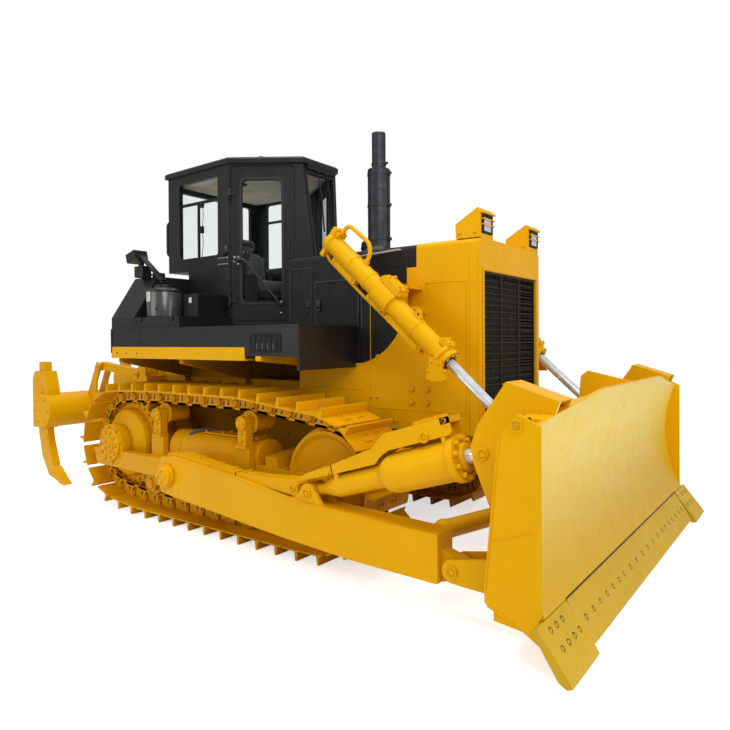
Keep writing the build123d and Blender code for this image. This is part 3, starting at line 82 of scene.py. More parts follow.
def new_material(name):
    """A material with nodes, its shader and its output."""
    material = bpy.data.materials.new(name)
    material.use_nodes = True
    nodes, links = material.node_tree.nodes, material.node_tree.links
    return material, nodes, links, nodes["Principled BSDF"]


def tune(node, values):
    """Numbers and colours for a node's inputs."""
    for socket, value in values.items():
        node.inputs[socket].default_value = value


def shaded(colour, share, more=0.0):
    """A colour made darker or lighter by a share, with no channel past white."""
    return tuple(min(1.0, share * c + more) for c in colour[:3]) + (1,)


def own_place(nodes):
    """The coordinates of the object itself."""
    return nodes.new("ShaderNodeTexCoord").outputs["Object"]


def mix_colour(nodes, links, factor, first, second):
    """A colour between two others, by a factor that is a socket or a number."""
    mix = nodes.new("ShaderNodeMix")
    mix.data_type = "RGBA"
    for socket, value in (("Factor_Float", factor), ("A_Color", first), ("B_Color", second)):
        target = next(s for s in mix.inputs if s.identifier == socket)
        if isinstance(value, bpy.types.NodeSocket):
            links.new(value, target)
        else:
            target.default_value = value
    return next(s for s in mix.outputs if s.identifier == "Result_Color")


def noise(nodes, links, scale, detail, roughness=0.5):
    """A noise pattern in the object's own coordinates."""
    texture = nodes.new("ShaderNodeTexNoise")
    tune(texture, {"Scale": scale, "Detail": detail, "Roughness": roughness})
    links.new(own_place(nodes), texture.inputs["Vector"])
    return texture.outputs["Fac"]


def ramp(nodes, links, value, low, high, reach=(0.0, 1.0)):
    """A value stretched from one range onto another, and clamped."""
    stretch = nodes.new("ShaderNodeMapRange")
    links.new(value, stretch.inputs["Value"])
    tune(stretch, {"From Min": low, "From Max": high, "To Min": reach[0], "To Max": reach[1]})
    return stretch.outputs["Result"]


def multiply(nodes, links, *values):
    """The product of two sockets."""
    product = nodes.new("ShaderNodeMath")
    product.operation = "MULTIPLY"
    for index, value in enumerate(values):
        links.new(value, product.inputs[index])
    return product.outputs[0]


def surface(nodes, links, shader, height, strength, distance, rounding):
    """Fine relief from a height, over edges that a bevel lookup rounds."""
    bump = nodes.new("ShaderNodeBump")
    tune(bump, {"Strength": strength, "Distance": distance})
    links.new(height, bump.inputs["Height"])
    if rounding:
        bevel = nodes.new("ShaderNodeBevel")
        bevel.samples = 4
        tune(bevel, {"Radius": rounding})
        links.new(bevel.outputs["Normal"], bump.inputs["Normal"])
    links.new(bump.outputs["Normal"], shader.inputs["Normal"])


paint_peel, paint_peel_height, paint_rounding, metal_rounding = 0.1, 0.0008, 0.006, 0.003


def painted_forward_sheen(nodes, links, clouded, sheen_colours):
    """Paint mixed where the surface looks forward, towards a paler colour above that is a painted reflection
    of the bright surround and towards a darker colour at the foot; less so on faces that look up.
    """
    parts, place = nodes.new("ShaderNodeSeparateXYZ"), nodes.new("ShaderNodeSeparateXYZ")
    links.new(nodes.new("ShaderNodeNewGeometry").outputs["Normal"], parts.inputs[0])
    links.new(own_place(nodes), place.inputs[0])
    # Painted reflection on forward faces, weaker on faces that look up; darker towards the foot
    forward = ramp(nodes, links, parts.outputs["X"], 0.55, 0.85)
    level = ramp(nodes, links, parts.outputs["Z"], -0.05, 0.4, (1.0, 0.7))
    foot_to_sheen = mix_colour(nodes, links, ramp(nodes, links, place.outputs["Z"], 0.45, 1.1), *sheen_colours)
    return mix_colour(nodes, links, multiply(nodes, links, forward, level), clouded, foot_to_sheen)


def painted(name, colour, dusty, roughness=0.38, coat=0.12, dust=0.25, gloss=0.3, forward_sheen=None,
            tint=(1, 1, 1, 1)):
    """Sprayed paint: slight clouding, dust that gathers in patches and a fine orange peel.

    A pair of colours may be given for surfaces that look forward: the darker one towards the foot, the paler
    one above as a painted reflection of the bright surround."""
    material, nodes, links, shader = new_material(name)
    broad = noise(nodes, links, 0.9, 4.0)
    patches = noise(nodes, links, 7.0, 6.0, roughness=0.62)
    clouded = mix_colour(nodes, links, ramp(nodes, links, broad, 0.35, 0.7), colour, shaded(colour, 0.9))
    # Forward faces: painted reflection, paler above, darker towards the foot
    if forward_sheen:
        clouded = painted_forward_sheen(nodes, links, clouded, forward_sheen)
    dirt = ramp(nodes, links, patches, 0.56, 0.8, (0.0, dust))
    links.new(mix_colour(nodes, links, dirt, clouded, dusty), shader.inputs["Base Color"])
    rough = ramp(nodes, links, patches, 0.35, 0.8, (roughness - 0.05, roughness + 0.2))
    links.new(rough, shader.inputs["Roughness"])
    tune(shader, {"Specular IOR Level": gloss, "Specular Tint": tint, "Coat Weight": coat,
                  "Coat Roughness": 0.18})
    peel = noise(nodes, links, 260.0, 2.0)
    surface(nodes, links, shader, peel, paint_peel, paint_peel_height, paint_rounding)
    return material


def metal(name, colour, roughness, grain=0.08, bare=1.0):
    """Bare metal with brushed or cast variation."""
    material, nodes, links, shader = new_material(name)
    broad = noise(nodes, links, 14.0, 5.0, roughness=0.6)
    clouded = mix_colour(nodes, links, ramp(nodes, links, broad, 0.4, 0.7), colour, shaded(colour, 0.7))
    links.new(clouded, shader.inputs["Base Color"])
    rough = ramp(nodes, links, broad, 0.3, 0.8, (roughness * 0.8, roughness * 1.3))
    links.new(rough, shader.inputs["Roughness"])
    tune(shader, {"Metallic": bare})
    surface(nodes, links, shader, noise(nodes, links, 180.0, 2.0), grain, 0.001, metal_rounding)
    return material


def plastic(name, colour, roughness=0.5, scale=500.0, relief=0.25):
    """Moulded plastic or rubber with a fine grain."""
    material, nodes, links, shader = new_material(name)
    broad = noise(nodes, links, 5.0, 4.0)
    lighter = shaded(colour, 1.35, 0.004)
    clouded = mix_colour(nodes, links, ramp(nodes, links, broad, 0.4, 0.75), colour, lighter)
    links.new(clouded, shader.inputs["Base Color"])
    rough = ramp(nodes, links, broad, 0.3, 0.8, (roughness - 0.06, roughness + 0.1))
    links.new(rough, shader.inputs["Roughness"])
    surface(nodes, links, shader, noise(nodes, links, scale, 2.0), relief, 0.0006, 0)
    return material


def woven(name, colour):
    """Seat cloth: two crossed sets of threads."""
    material, nodes, links, shader = new_material(name)
    coordinates = own_place(nodes)
    heights = []
    for direction in ("X", "Z"):
        wave = nodes.new("ShaderNodeTexWave")
        wave.bands_direction = direction
        tune(wave, {"Scale": 90.0, "Distortion": 0.6})
        links.new(coordinates, wave.inputs["Vector"])
        heights.append(wave.outputs["Fac"])
    weave = multiply(nodes, links, *heights)
    links.new(mix_colour(nodes, links, weave, colour, shaded(colour, 2.2, 0.01)), shader.inputs["Base Color"])
    tune(shader, {"Roughness": 0.85, "Sheen Weight": 0.3})
    surface(nodes, links, shader, weave, 0.5, 0.001, 0)
    return material


def glazing(name, tint, opacity):
    """Thin tinted glass: clear to look through, glossy at a glance."""
    material, nodes, links, shader = new_material(name)
    tune(shader, {"Base Color": tint})
    smears = noise(nodes, links, 3.0, 4.0)
    links.new(ramp(nodes, links, smears, 0.3, 0.8, (0.02, 0.07)), shader.inputs["Roughness"])
    clear = nodes.new("ShaderNodeBsdfTransparent")
    tune(clear, {"Color": (0.965, 0.98, 0.975, 1)})
    blend = nodes.new("ShaderNodeMixShader")
    edge = nodes.new("ShaderNodeLayerWeight")
    tune(edge, {"Blend": 0.15})
    links.new(ramp(nodes, links, edge.outputs["Fresnel"], 0.0, 1.0, (opacity, 0.6)), blend.inputs["Fac"])
    links.new(clear.outputs[0], blend.inputs[1])
    links.new(shader.outputs[0], blend.inputs[2])
    links.new(blend.outputs[0], nodes["Material Output"].inputs["Surface"])
    return material


def lamp_lens(name, colour):
    """Ribbed lamp glass over a bright bowl."""
    material, nodes, links, shader = new_material(name)
    wave = nodes.new("ShaderNodeTexWave")
    tune(wave, {"Scale": 24.0})
    links.new(own_place(nodes), wave.inputs["Vector"])
    ribbed = mix_colour(nodes, links, wave.outputs["Fac"], colour, shaded(colour, 0.55))
    links.new(ribbed, shader.inputs["Base Color"])
    tune(shader, {"Roughness": 0.08, "Coat Weight": 1.0, "Metallic": 0.35})
    surface(nodes, links, shader, wave.outputs["Fac"], 0.35, 0.002, 0)
    return material


yellow = (0.76, 0.378, 0.0012, 1)
yellow_dust = (0.62, 0.33, 0.02, 1)
# A darker, more orange copy of the yellow for the running gear low on the machine: painted shade
low_shade_yellow = (0.7, 0.325, 0.0012, 1)
golden = (1.0, 0.62, 0.03, 1)
black = (0.009, 0.0097, 0.0092, 1)
black_dust = (0.02, 0.02, 0.018, 1)

finishes = {
    "yellow": painted("yellow_paint", yellow, yellow_dust, coat=0.02, gloss=0.35, tint=golden),
    # Running gear: the darker copy of the yellow is painted shade; the tracks also carry heavy dust
    "frame_yellow": painted("frame_yellow_paint", low_shade_yellow, yellow_dust, roughness=0.42, coat=0.02,
                            gloss=0.35, tint=golden),
    "track_yellow": painted("track_yellow_paint", low_shade_yellow, (0.3, 0.17, 0.02, 1), roughness=0.46,
                            dust=0.55, coat=0.0, gloss=0.4, tint=golden),
    # Hull sides: a far darker yellow as painted shade behind the tracks and rollers, with dark grime patches
    # over it
    "hull_shade_yellow": painted("hull_shade_paint", (0.42, 0.19, 0.0012, 1), (0.14, 0.085, 0.015, 1), roughness=0.5,
                           coat=0.0, gloss=0.3, dust=0.6, tint=golden),
    # The blade's forward faces: a painted reflection, paler above, and a darker colour towards the foot
    "blade_yellow": painted("blade_yellow_paint", yellow, yellow_dust, roughness=0.34, coat=0.05, dust=0.12,
                            gloss=0.4, forward_sheen=((0.5, 0.315, 0.01, 1), (0.72, 0.53, 0.08, 1)), tint=golden),
    "edge_yellow": painted("edge_paint", (0.56, 0.345, 0.02, 1), (0.36, 0.25, 0.06, 1), roughness=0.42,
                           coat=0.0, gloss=0.35, tint=golden),
    "black": painted("black_paint", black, black_dust, roughness=0.36, dust=0.3),
    "dull_black": painted("dull_black_paint", (0.008, 0.008, 0.008, 1), black_dust, roughness=0.6, coat=0.0),
    "grille_black": painted("grille_paint", (0.016, 0.013, 0.008, 1), (0.06, 0.045, 0.02, 1), roughness=0.6,
                            coat=0.0, dust=0.5),
    "grey": painted("grey_paint", (0.07, 0.075, 0.075, 1), (0.12, 0.11, 0.09, 1), roughness=0.5, coat=0.0),
    "tank_grey": painted("tank_grey_paint", (0.045, 0.05, 0.044, 1), (0.09, 0.09, 0.08, 1), roughness=0.22,
                         coat=0.5, gloss=0.5),
    # Chrome: only part metal, so the near-white colour also shows as diffuse brightness, a painted reflection
    # of the bright surround
    "chrome": metal("chrome_plating", (0.9, 0.94, 0.96, 1), 0.13, grain=0.01, bare=0.55),
    "steel": metal("plain_steel", (0.46, 0.45, 0.44, 1), 0.34),
    "soot_steel": metal("soot_steel", (0.055, 0.058, 0.062, 1), 0.5),
    "rubber": plastic("black_rubber", (0.01, 0.01, 0.01, 1), 0.7),
    "plastic": plastic("dark_plastic", (0.026, 0.026, 0.028, 1), 0.5),
    "lining": plastic("pale_lining", (0.66, 0.62, 0.5, 1), 0.8, scale=220.0, relief=0.5),
    "cloth": woven("seat_cloth", (0.075, 0.082, 0.08, 1)),
    "glass": glazing("tinted_glass", (0.05, 0.07, 0.075, 1), 0.015),
    "lens": lamp_lens("lamp_lens", (0.75, 0.77, 0.8, 1)),
    "pale": plastic("pale_label", (0.55, 0.54, 0.46, 1), 0.4),
    "pipe_grey": painted("pale_pipe_paint", (0.33, 0.33, 0.32, 1), (0.2, 0.19, 0.17, 1), roughness=0.45),
}

finish_nodes = {
    "blade_yellow": "blade",
    "edge_yellow": "cutting_edge",
    "hull_shade_yellow": "main_frame",
    "frame_yellow": "carrier_rollers idlers track_frames equaliser_bar",
    "track_yellow": "track_left track_right sprockets track_rollers",
    "black": "cab_shell door_left door_right fenders rear_tank side_boxes grab_rails",
    "dull_black": "engine_cover",
    "grille_black": "radiator_grille",
    "soot_steel": "exhaust_stack",
    "grey": "engine_block radiator_core",
    "chrome": "lift_rod_left lift_rod_right tilt_rod ripper_rods",
    "glass": "cab_glass door_glass_left door_glass_right front_pane",
    "plastic": "control_console",
    "cloth": "operator_seat",
}
node_finish = {node: finish for finish, nodes in finish_nodes.items() for node in nodes.split()}
for name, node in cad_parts.items():
    node.data.materials.clear()
    node.data.materials.append(finishes[node_finish.get(name, "yellow")])

# Shapes, all added to a mesh under construction

sides = (("right", -1), ("left", 1))
fine, medium, coarse = 32, 20, 12       # segments of a round shape
least_radius = 1e-5                     # in place of nothing at a turned shape's tip


def basis(origin, along, up=(0, 0, 1)):
    """A frame with X along a direction and Z as near as can be to another."""
    x = Vector(along).normalized()
    z = Vector(up) - x * x.dot(Vector(up))
    if z.length < 1e-6:
        z = Vector((1, 0, 0)) - x * x.x
    z.normalize()
    turn = Matrix((x, z.cross(x), z)).transposed().to_4x4()
    return Matrix.Translation(Vector(origin)) @ turn


def span(sign, one, two):
    """Two distances from the middle as a range on one side of the machine."""
    return sorted((one * sign, two * sign))


def about(middle, half):
    """The range around a value."""
    return middle - half, middle + half


def loft(mesh, rings, around=False):
    """Faces between rings of points of the same count; around joins the last ring to the first."""
    made = [[mesh.verts.new(point) for point in ring] for ring in rings]
    if around:
        made.append(made[0])
    count = len(made[0])
    for one, two in zip(made, made[1:]):
        for i in range(count):
            j = (i + 1) % count
            mesh.faces.new((one[i], one[j], two[j], two[i]))
    if not around:
        mesh.faces.new(list(reversed(made[0])))
        mesh.faces.new(made[-1])


def box(mesh, x, y, z, place=Matrix.Identity(4)):
    """A box between two values along each axis."""
    corners = ((x[0], y[0]), (x[1], y[0]), (x[1], y[1]), (x[0], y[1]))
    loft(mesh, [[place @ Vector((a, b, height)) for a, b in corners] for height in z])


def prism(mesh, outline, y, place=Matrix.Identity(4)):
    """An outline in x and z, drawn out between two values of y."""
    loft(mesh, [[place @ Vector((a, side, b)) for a, b in outline] for side in y])


def circle(count, start=0.0):
    """The cosine and sine at even steps around a circle."""
    angles = [start + 2 * math.pi * i / count for i in range(count)]
    return [(math.cos(angle), math.sin(angle)) for angle in angles]


def lathe(mesh, profile, place=Matrix.Identity(4), segments=fine, hollow=False):
    """A turned shape about the local X axis, from pairs of distance and radius.

    hollow closes the run of pairs."""
    rings = []
    for distance, radius in profile:
        radius = max(radius, least_radius)
        rings.append([place @ Vector((distance, radius * a, radius * b)) for a, b in circle(segments)])
    loft(mesh, rings, around=hollow)


def disc(mesh, centre, out, profile, segments=medium):
    """A turned cap on a surface, from pairs of height and radius, flat on top."""
    lathe(mesh, (*profile, (profile[-1][0], 0.0)), basis(centre, out), segments)


def collar(mesh, x, inner, outer, place=Matrix.Identity(4), chamfer=0.002):
    """A ring about the local X axis, between two distances and two radii."""
    lathe(mesh, ((x[0], inner), (x[0], outer - chamfer), (x[0] + chamfer, outer), (x[1] - chamfer, outer),
                 (x[1], outer - chamfer), (x[1], inner)), place, hollow=True)


def rod(mesh, start, end, radius, segments=coarse):
    """A round bar from one point to another."""
    start, end = Vector(start), Vector(end)
    lathe(mesh, ((0, radius), ((end - start).length, radius)), basis(start, end - start), segments)


def bolt(mesh, point, out, across=0.024, height=0.014, washer=True):
    """A hexagon head on a washer, facing out of a surface."""
    place, start = basis(point, out), 0.0
    washer_radius, head_radius, top_radius = across * 0.72, across * 0.57, across * 0.45
    if washer:
        start = 0.003
        lathe(mesh, ((-0.002, washer_radius), (start, washer_radius)), place, coarse)
    lathe(mesh, ((start, head_radius), (start + height * 0.8, head_radius), (start + height, top_radius)),
          place, 6)


def bolt_circle(mesh, centre, out, radius, count, across=0.024, height=0.014, start=0.0):
    """Bolt heads around a circle."""
    place = basis(centre, out)
    for a, b in circle(count, start):
        bolt(mesh, place @ Vector((0, radius * a, radius * b)), out, across, height)


def rounded_path(points, radius, steps=6):
    """A path of straight runs joined by arcs."""
    points = [Vector(point) for point in points]
    path = [points[0]]
    for before, corner, after in zip(points, points[1:], points[2:]):
        back, ahead = (before - corner), (after - corner)
        reach = min(radius, back.length * 0.49, ahead.length * 0.49)
        start, end = corner + back.normalized() * reach, corner + ahead.normalized() * reach
        for i in range(steps + 1):
            share = i / steps
            path.append(start.lerp(corner, share).lerp(corner.lerp(end, share), share))
    path.append(points[-1])
    return path


def pipe(mesh, points, radius, bend=0.05, segments=coarse):
    """A tube along a path with bent corners."""
    path = rounded_path(points, bend)
    rings, up = [], None
    for i, point in enumerate(path):
        ahead = (path[min(i + 1, len(path) - 1)] - path[max(i - 1, 0)]).normalized()
        if up is None:
            up = ahead.orthogonal().normalized()
        up = (up - ahead * ahead.dot(up)).normalized()
        across = ahead.cross(up)
        rings.append([point + up * radius * a + across * radius * b for a, b in circle(segments)])
    loft(mesh, rings)


# Degrees from which an edge is sharp, and from which a bevel rounds it
sharp_angle, rounded_angle = 35, 40


def piece(name, mesh, finish, body="chassis", bevel=0.0):
    """The finished mesh as an object that moves with a body."""
    bmesh.ops.recalc_face_normals(mesh, faces=mesh.faces)
    for face in mesh.faces:
        face.smooth = True
    data = bpy.data.meshes.new(name)
    mesh.to_mesh(data)
    mesh.free()
    data.set_sharp_from_angle(angle=math.radians(sharp_angle))
    made = bpy.data.objects.new(name, data)
    scene.collection.objects.link(made)
    data.materials.append(finishes[finish])
    if bevel:
        rounding = made.modifiers.new("rounding", "BEVEL")
        rounding.width, rounding.segments, rounding.limit_method = bevel, 2, "ANGLE"
        rounding.angle_limit = math.radians(rounded_angle)
    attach(made, body)
    return made


# Tracks: shoes, links, pins and bolts set out along the same belt as the solids

track_gauge, shoe_width, shoe_count = 2.0, 0.56, 38
ground_pitch_z, idler_pitch_radius = 0.145, 0.455
track_wheels = (
    # x, z, pitch radius
    (-1.45, 0.652, 0.468),
    (-0.8, 0.99, 0.15),
    (0.37, 0.99, 0.15),
    (1.203, ground_pitch_z + idler_pitch_radius, idler_pitch_radius),
    (-1.08, 0.305, 0.16),
)


def belt_runs(wheels):
    """The straight runs and arcs around the wheels, each with its length, forward along the top."""
    normals = []
    for (x1, z1, r1), (x2, z2, r2) in zip(wheels, wheels[1:] + wheels[:1]):
        apart = math.hypot(x2 - x1, z2 - z1)
        dx, dz, lean = (x2 - x1) / apart, (z2 - z1) / apart, (r1 - r2) / apart
        rise = math.sqrt(1 - lean**2)
        normals.append((dx * lean - dz * rise, dz * lean + dx * rise))
    runs = []
    for i, (x, z, r) in enumerate(wheels):
        before, after = normals[i - 1], normals[i]
        start = math.atan2(before[1], before[0])
        turn = (start - math.atan2(after[1], after[0])) % (2 * math.pi)

        def arc(d, x=x, z=z, r=r, start=start):
            return x + r * math.cos(start - d / r), z + r * math.sin(start - d / r)

        runs.append((r * turn, arc))
        x2, z2, r2 = wheels[(i + 1) % len(wheels)]
        one = Vector((x + r * after[0], z + r * after[1]))
        two = Vector((x2 + r2 * after[0], z2 + r2 * after[1]))

        def line(d, one=one, two=two):
            return tuple(one + (two - one).normalized() * d)

        runs.append(((two - one).length, line))
    return runs


track_runs = belt_runs(track_wheels)
track_length = sum(length for length, _ in track_runs)
shoe_pitch = track_length / shoe_count


def belt_point(distance):
    """The point on the pitch line at a distance along it."""
    distance %= track_length
    for length, point in track_runs:
        if distance <= length:
            return point(distance)
        distance -= length
    return point(length)


track_pins = [belt_point(i * shoe_pitch) for i in range(shoe_count)]
link_half_height, shoe_top, grouser_top, link_middle = 0.06, 0.073, 0.144, 0.078


def add_shoe(mesh, pocket_shade, place):
    """One shoe with its grouser, bolts, pair of links, bush and pin ends, and dark patches of painted shade
    in the links' nut pockets.
    """
    half = shoe_pitch / 2
    prism(mesh, ((-half + 0.004, link_half_height), (-half + 0.002, shoe_top - 0.002), (-0.078, shoe_top),
                 (-0.071, grouser_top - 0.004), (-0.068, grouser_top), (-0.055, grouser_top),
                 (-0.052, grouser_top - 0.004), (-0.045, shoe_top + 0.002), (half - 0.02, shoe_top),
                 (half - 0.003, shoe_top - 0.008), (half - 0.003, link_half_height - 0.004),
                 (half - 0.02, link_half_height)), (-shoe_width / 2, shoe_width / 2), place)
    out = place.to_3x3() @ Vector((0, 0, 1))
    for side in (-1, 1):
        for y in (0.058, 0.102):
            for x in (-0.018, 0.044):
                bolt(mesh, place @ Vector((x, side * y, shoe_top)), out, 0.026, 0.013, washer=False)
        inner, middle, outer = (side * (link_middle + d) for d in (-0.021, 0.001, 0.021))
        for end, low, high in ((-1, inner, middle), (1, middle, outer)):
            boss = [(end * (half + 0.037 * math.sin(a)), 0.037 * math.cos(a))
                    for a in (math.pi * k / 6 for k in range(7))]
            prism(mesh, ((-end * 0.03, link_half_height - 0.001),
                         (end * (half - 0.02), link_half_height - 0.001), *boss,
                         (end * (half - 0.016), -link_half_height + 0.001),
                         (-end * 0.03, -link_half_height + 0.001)), (low, high), place)
        box(mesh, (-half + 0.014, half - 0.014), sorted((inner, outer)),
            (-link_half_height + 0.001, -link_half_height + 0.022), place)
        for x in (-0.022, 0.04):
            # Thin dark boxes on the links' faces: painted shade in the nut pockets
            box(pocket_shade, about(x, 0.01), sorted((outer, outer + side * 0.0012)), (-0.024, 0.03), place)
        for x in (-0.028, 0.034):
            lathe(mesh, ((0, 0.0135), (0.04, 0.0135)), place @ basis((x, side * 0.09, -0.002), (0, 0, 1)), 6)
        pin = basis((half, side * link_middle, 0), (0, side, 0))
        lathe(mesh, ((0.018, 0.023), (0.023, 0.023), (0.024, 0.018), (0.02, 0.016)), place @ pin, coarse)
    lathe(mesh, ((-0.058, 0.033), (0.058, 0.033)), place @ basis((-half, 0, 0), (0, 1, 0)), medium)


for side, sign in sides:
    mesh, pocket_shade = bmesh.new(), bmesh.new()
    for i in range(shoe_count):
        (x1, z1), (x2, z2) = track_pins[i], track_pins[(i + 1) % shoe_count]
        middle = ((x1 + x2) / 2, sign * track_gauge / 2, (z1 + z2) / 2)
        along = Vector((x2 - x1, 0, z2 - z1)).normalized()
        add_shoe(mesh, pocket_shade, basis(middle, along, (-along.z, 0, along.x)))
    made = piece(f"track_chain_{side}", mesh, "track_yellow")
    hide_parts(f"track_{side}")
    # Painted shade of the nut pockets
    piece(f"track_link_pocket_shade_{side}", pocket_shade, "soot_steel")

# Undercarriage: what is bolted to the track frames and final drives

sprocket_place, idler_place = Vector((-1.45, 0, 0.652)), Vector((1.203, 0, 0.6))
roller_xs = [-0.97 + 0.34 * i for i in range(6)]
carrier_xs = (-0.8, 0.37)
for side, sign in sides:
    out = Vector((0, sign, 0))

    def at(x, y, z):
        """A point at a distance from the machine's middle, on this side."""
        return Vector((x, sign * y, z))

    mesh = bmesh.new()
    hub = at(sprocket_place.x, 1.318, sprocket_place.z)
    bolt_circle(mesh, hub - out * 0.001, out, 0.128, 10, 0.03, 0.018)
    disc(mesh, hub - out * 0.004, out, ((0, 0.085), (0.01, 0.085), (0.016, 0.07)), fine)
    bolt_circle(mesh, hub + out * 0.012, out, 0.045, 3, 0.022, 0.012)
    bolt_circle(mesh, at(sprocket_place.x, 1.075, sprocket_place.z), out, 0.328, 24, 0.026, 0.016)
    for a, b in circle(27, math.pi / 27):
        bolt(mesh, at(sprocket_place.x + 0.395 * a, 1.038, sprocket_place.z + 0.395 * b), out, 0.026, 0.016)
    bolt_circle(mesh, at(sprocket_place.x, 1.288, sprocket_place.z), out, 0.182, 8, 0.026, 0.014, start=0.2)
    piece(f"final_drive_bolts_{side}", mesh, "frame_yellow")

    mesh = bmesh.new()
    for x in carrier_xs:
        disc(mesh, at(x, 1.2045, 0.99), out, ((0, 0.06), (0.016, 0.06), (0.022, 0.052)))
        bolt_circle(mesh, at(x, 1.222, 0.99), out, 0.036, 3, 0.02, 0.012)
        for gap in (-0.052, 0.052):
            bolt(mesh, at(x + gap * 0.64, 1.166, 1.036), (0, 0, 1), 0.026, 0.018)
        box(mesh, about(x, 0.062), span(sign, 1.118, 1.222), (0.775, 0.8))
        for dx in (-0.046, 0.046):
            for y in (1.134, 1.206):
                bolt(mesh, at(x + dx, y, 0.799), (0, 0, 1), 0.024, 0.014)
        for z in (0.84, 0.9):
            bolt(mesh, at(x, 1.204, z), out, 0.024, 0.014)
    piece(f"carrier_post_fittings_{side}", mesh, "frame_yellow", bevel=0.003)

    mesh = bmesh.new()
    for x in roller_xs:
        for y, face in ((1.166, 1), (0.834, -1)):
            disc(mesh, at(x, y - face * 0.001, 0.305), out * face, ((0, 0.052), (0.014, 0.05), (0.018, 0.04)))
            for dx in (-0.048, 0.048):
                bolt(mesh, at(x + dx, y, 0.385), out * face, 0.024, 0.014)
    for x in (-0.82, -0.1, 0.62):
        box(mesh, about(x, 0.11), span(sign, 1.15, 1.168), (0.3, 0.432))
    disc(mesh, at(idler_place.x, 1.152, idler_place.z), out, ((0, 0.07), (0.02, 0.068), (0.026, 0.055)), fine)
    bolt_circle(mesh, at(idler_place.x, 1.152, idler_place.z), out, 0.083, 6, 0.022, 0.014)
    piece(f"roller_caps_{side}", mesh, "frame_yellow", bevel=0.002)

    mesh = bmesh.new()
    prism(mesh, ((-0.3, 0.838), (0.42, 0.838), (0.44, 0.846), (0.4, 0.85), (-0.28, 0.85)),
          span(sign, 0.93, 1.07))
    for x in (-0.27, -0.05, 0.17, 0.38):
        for y in (0.95, 1.05):
            bolt(mesh, at(x, y, 0.848), (0, 0, 1), 0.024, 0.014)
    for x, width in ((-0.56, 0.03), (0.46, 0.026)):
        lathe(mesh, ((0, 0.156), (width, 0.156)), basis(at(x, 1.0, 0.69), (1, 0, 0)), fine)
    piece(f"recoil_cover_{side}", mesh, "frame_yellow", bevel=0.003)

    mesh = bmesh.new()
    disc(mesh, at(-0.25, 1.524, 0.53), out, ((0, 0.086), (0.02, 0.086), (0.028, 0.072)), fine)
    bolt_circle(mesh, at(-0.25, 1.551, 0.53), out, 0.052, 4, 0.028, 0.016)
    piece(f"trunnion_cap_{side}", mesh, "yellow", "trunnion_rings", bevel=0.002)

# Grease lines that run from behind the rear carrier post up over the recoil spring's cover
for side, sign in sides:
    mesh = bmesh.new()
    for gap in (0.0, 0.022, 0.044):
        pipe(mesh, ((-0.68 + gap, sign * 1.13, 0.64), (-0.6 + gap, sign * 1.13, 0.71),
                    (-0.44 + gap, sign * 1.07, 0.846), (-0.36 + gap, sign * 1.04, 0.868),
                    (-0.3 + gap, sign * 0.96, 0.87), (-0.28 + gap, sign * 0.9, 0.82)), 0.007, 0.05, 8)
    piece(f"frame_grease_lines_{side}", mesh, "grey")

# Shapes for frames and fittings


def rounded_rectangle(x, z, radius, steps=5):
    """The corners of a rectangle between two values of x and of z, with round corners."""
    points = []
    for cx, cz, start in ((x[1], z[1], 0), (x[0], z[1], 90), (x[0], z[0], 180), (x[1], z[0], 270)):
        sx, sz = (1 if cx == x[1] else -1), (1 if cz == z[1] else -1)
        for i in range(steps + 1):
            angle = math.radians(start + 90 * i / steps)
            points.append((cx - sx * radius + radius * math.cos(angle),
                           cz - sz * radius + radius * math.sin(angle)))
    return points


def band(mesh, outer, inner, y, place=Matrix.Identity(4)):
    """A flat ring between two outlines of the same count in x and z, thick between two values of y."""
    runs = ((outer, y[0]), (outer, y[1]), (inner, y[1]), (inner, y[0]))
    loft(mesh, [[place @ Vector((a, side, b)) for a, b in outline] for outline, side in runs], around=True)


def frame_band(mesh, x, z, width, y, radius=0.02, place=Matrix.Identity(4)):
    """A rounded rectangular frame of one width."""
    outer = rounded_rectangle(x, z, radius)
    inner = rounded_rectangle((x[0] + width, x[1] - width), (z[0] + width, z[1] - width),
                              max(radius - width, 0.004))
    band(mesh, outer, inner, y, place)


def pin_cap(mesh, centre, out, radius, bolts=3):
    """The end of a pin: a chamfered disc held by bolts, or with a turned groove where it has none."""
    if not bolts:
        disc(mesh, centre, out, ((-0.001, radius), (0.012, radius), (0.016, radius * 0.9),
                                 (0.016, radius * 0.72), (0.008, radius * 0.66), (0.008, radius * 0.56),
                                 (0.015, radius * 0.5)))
        return
    disc(mesh, centre, out, ((-0.001, radius), (0.014, radius), (0.02, radius * 0.86)))
    bolt_circle(mesh, Vector(centre) + Vector(out).normalized() * 0.02, out, radius * 0.5, bolts,
                radius * 0.42, 0.012)


# Blade: bolted edge, pin ends and seams

edge_front, edge_low = Vector((3.1769, 0, 0.2794)), Vector((3.3169, 0, 0.0624))
bit_low = Vector((3.332, 0, 0.08))
edge_out, bit_out = Vector((0.8403, 0, 0.5421)), Vector((0.7894, 0, 0.614))
bit_start = 1.443


def edge_spot(y, share):
    """A point on the front of the cutting edge, or of the end bit beyond it."""
    spot = edge_front.lerp(edge_low if abs(y) < bit_start else bit_low, share)
    return Vector((spot.x, y, spot.z))


edge_bolts = [(-0.56 + 0.16 * i, 0.52) for i in range(8)]
for sign in (-1, 1):
    edge_bolts += [(sign * (0.68 + 0.13 * i), 0.52) for i in range(6)]
    edge_bolts += [(sign * (1.49 + 0.085 * i), 0.58) for i in range(4)]
    edge_bolts += [(sign * (1.59 + 0.08 * i), 0.2) for i in range(3)]
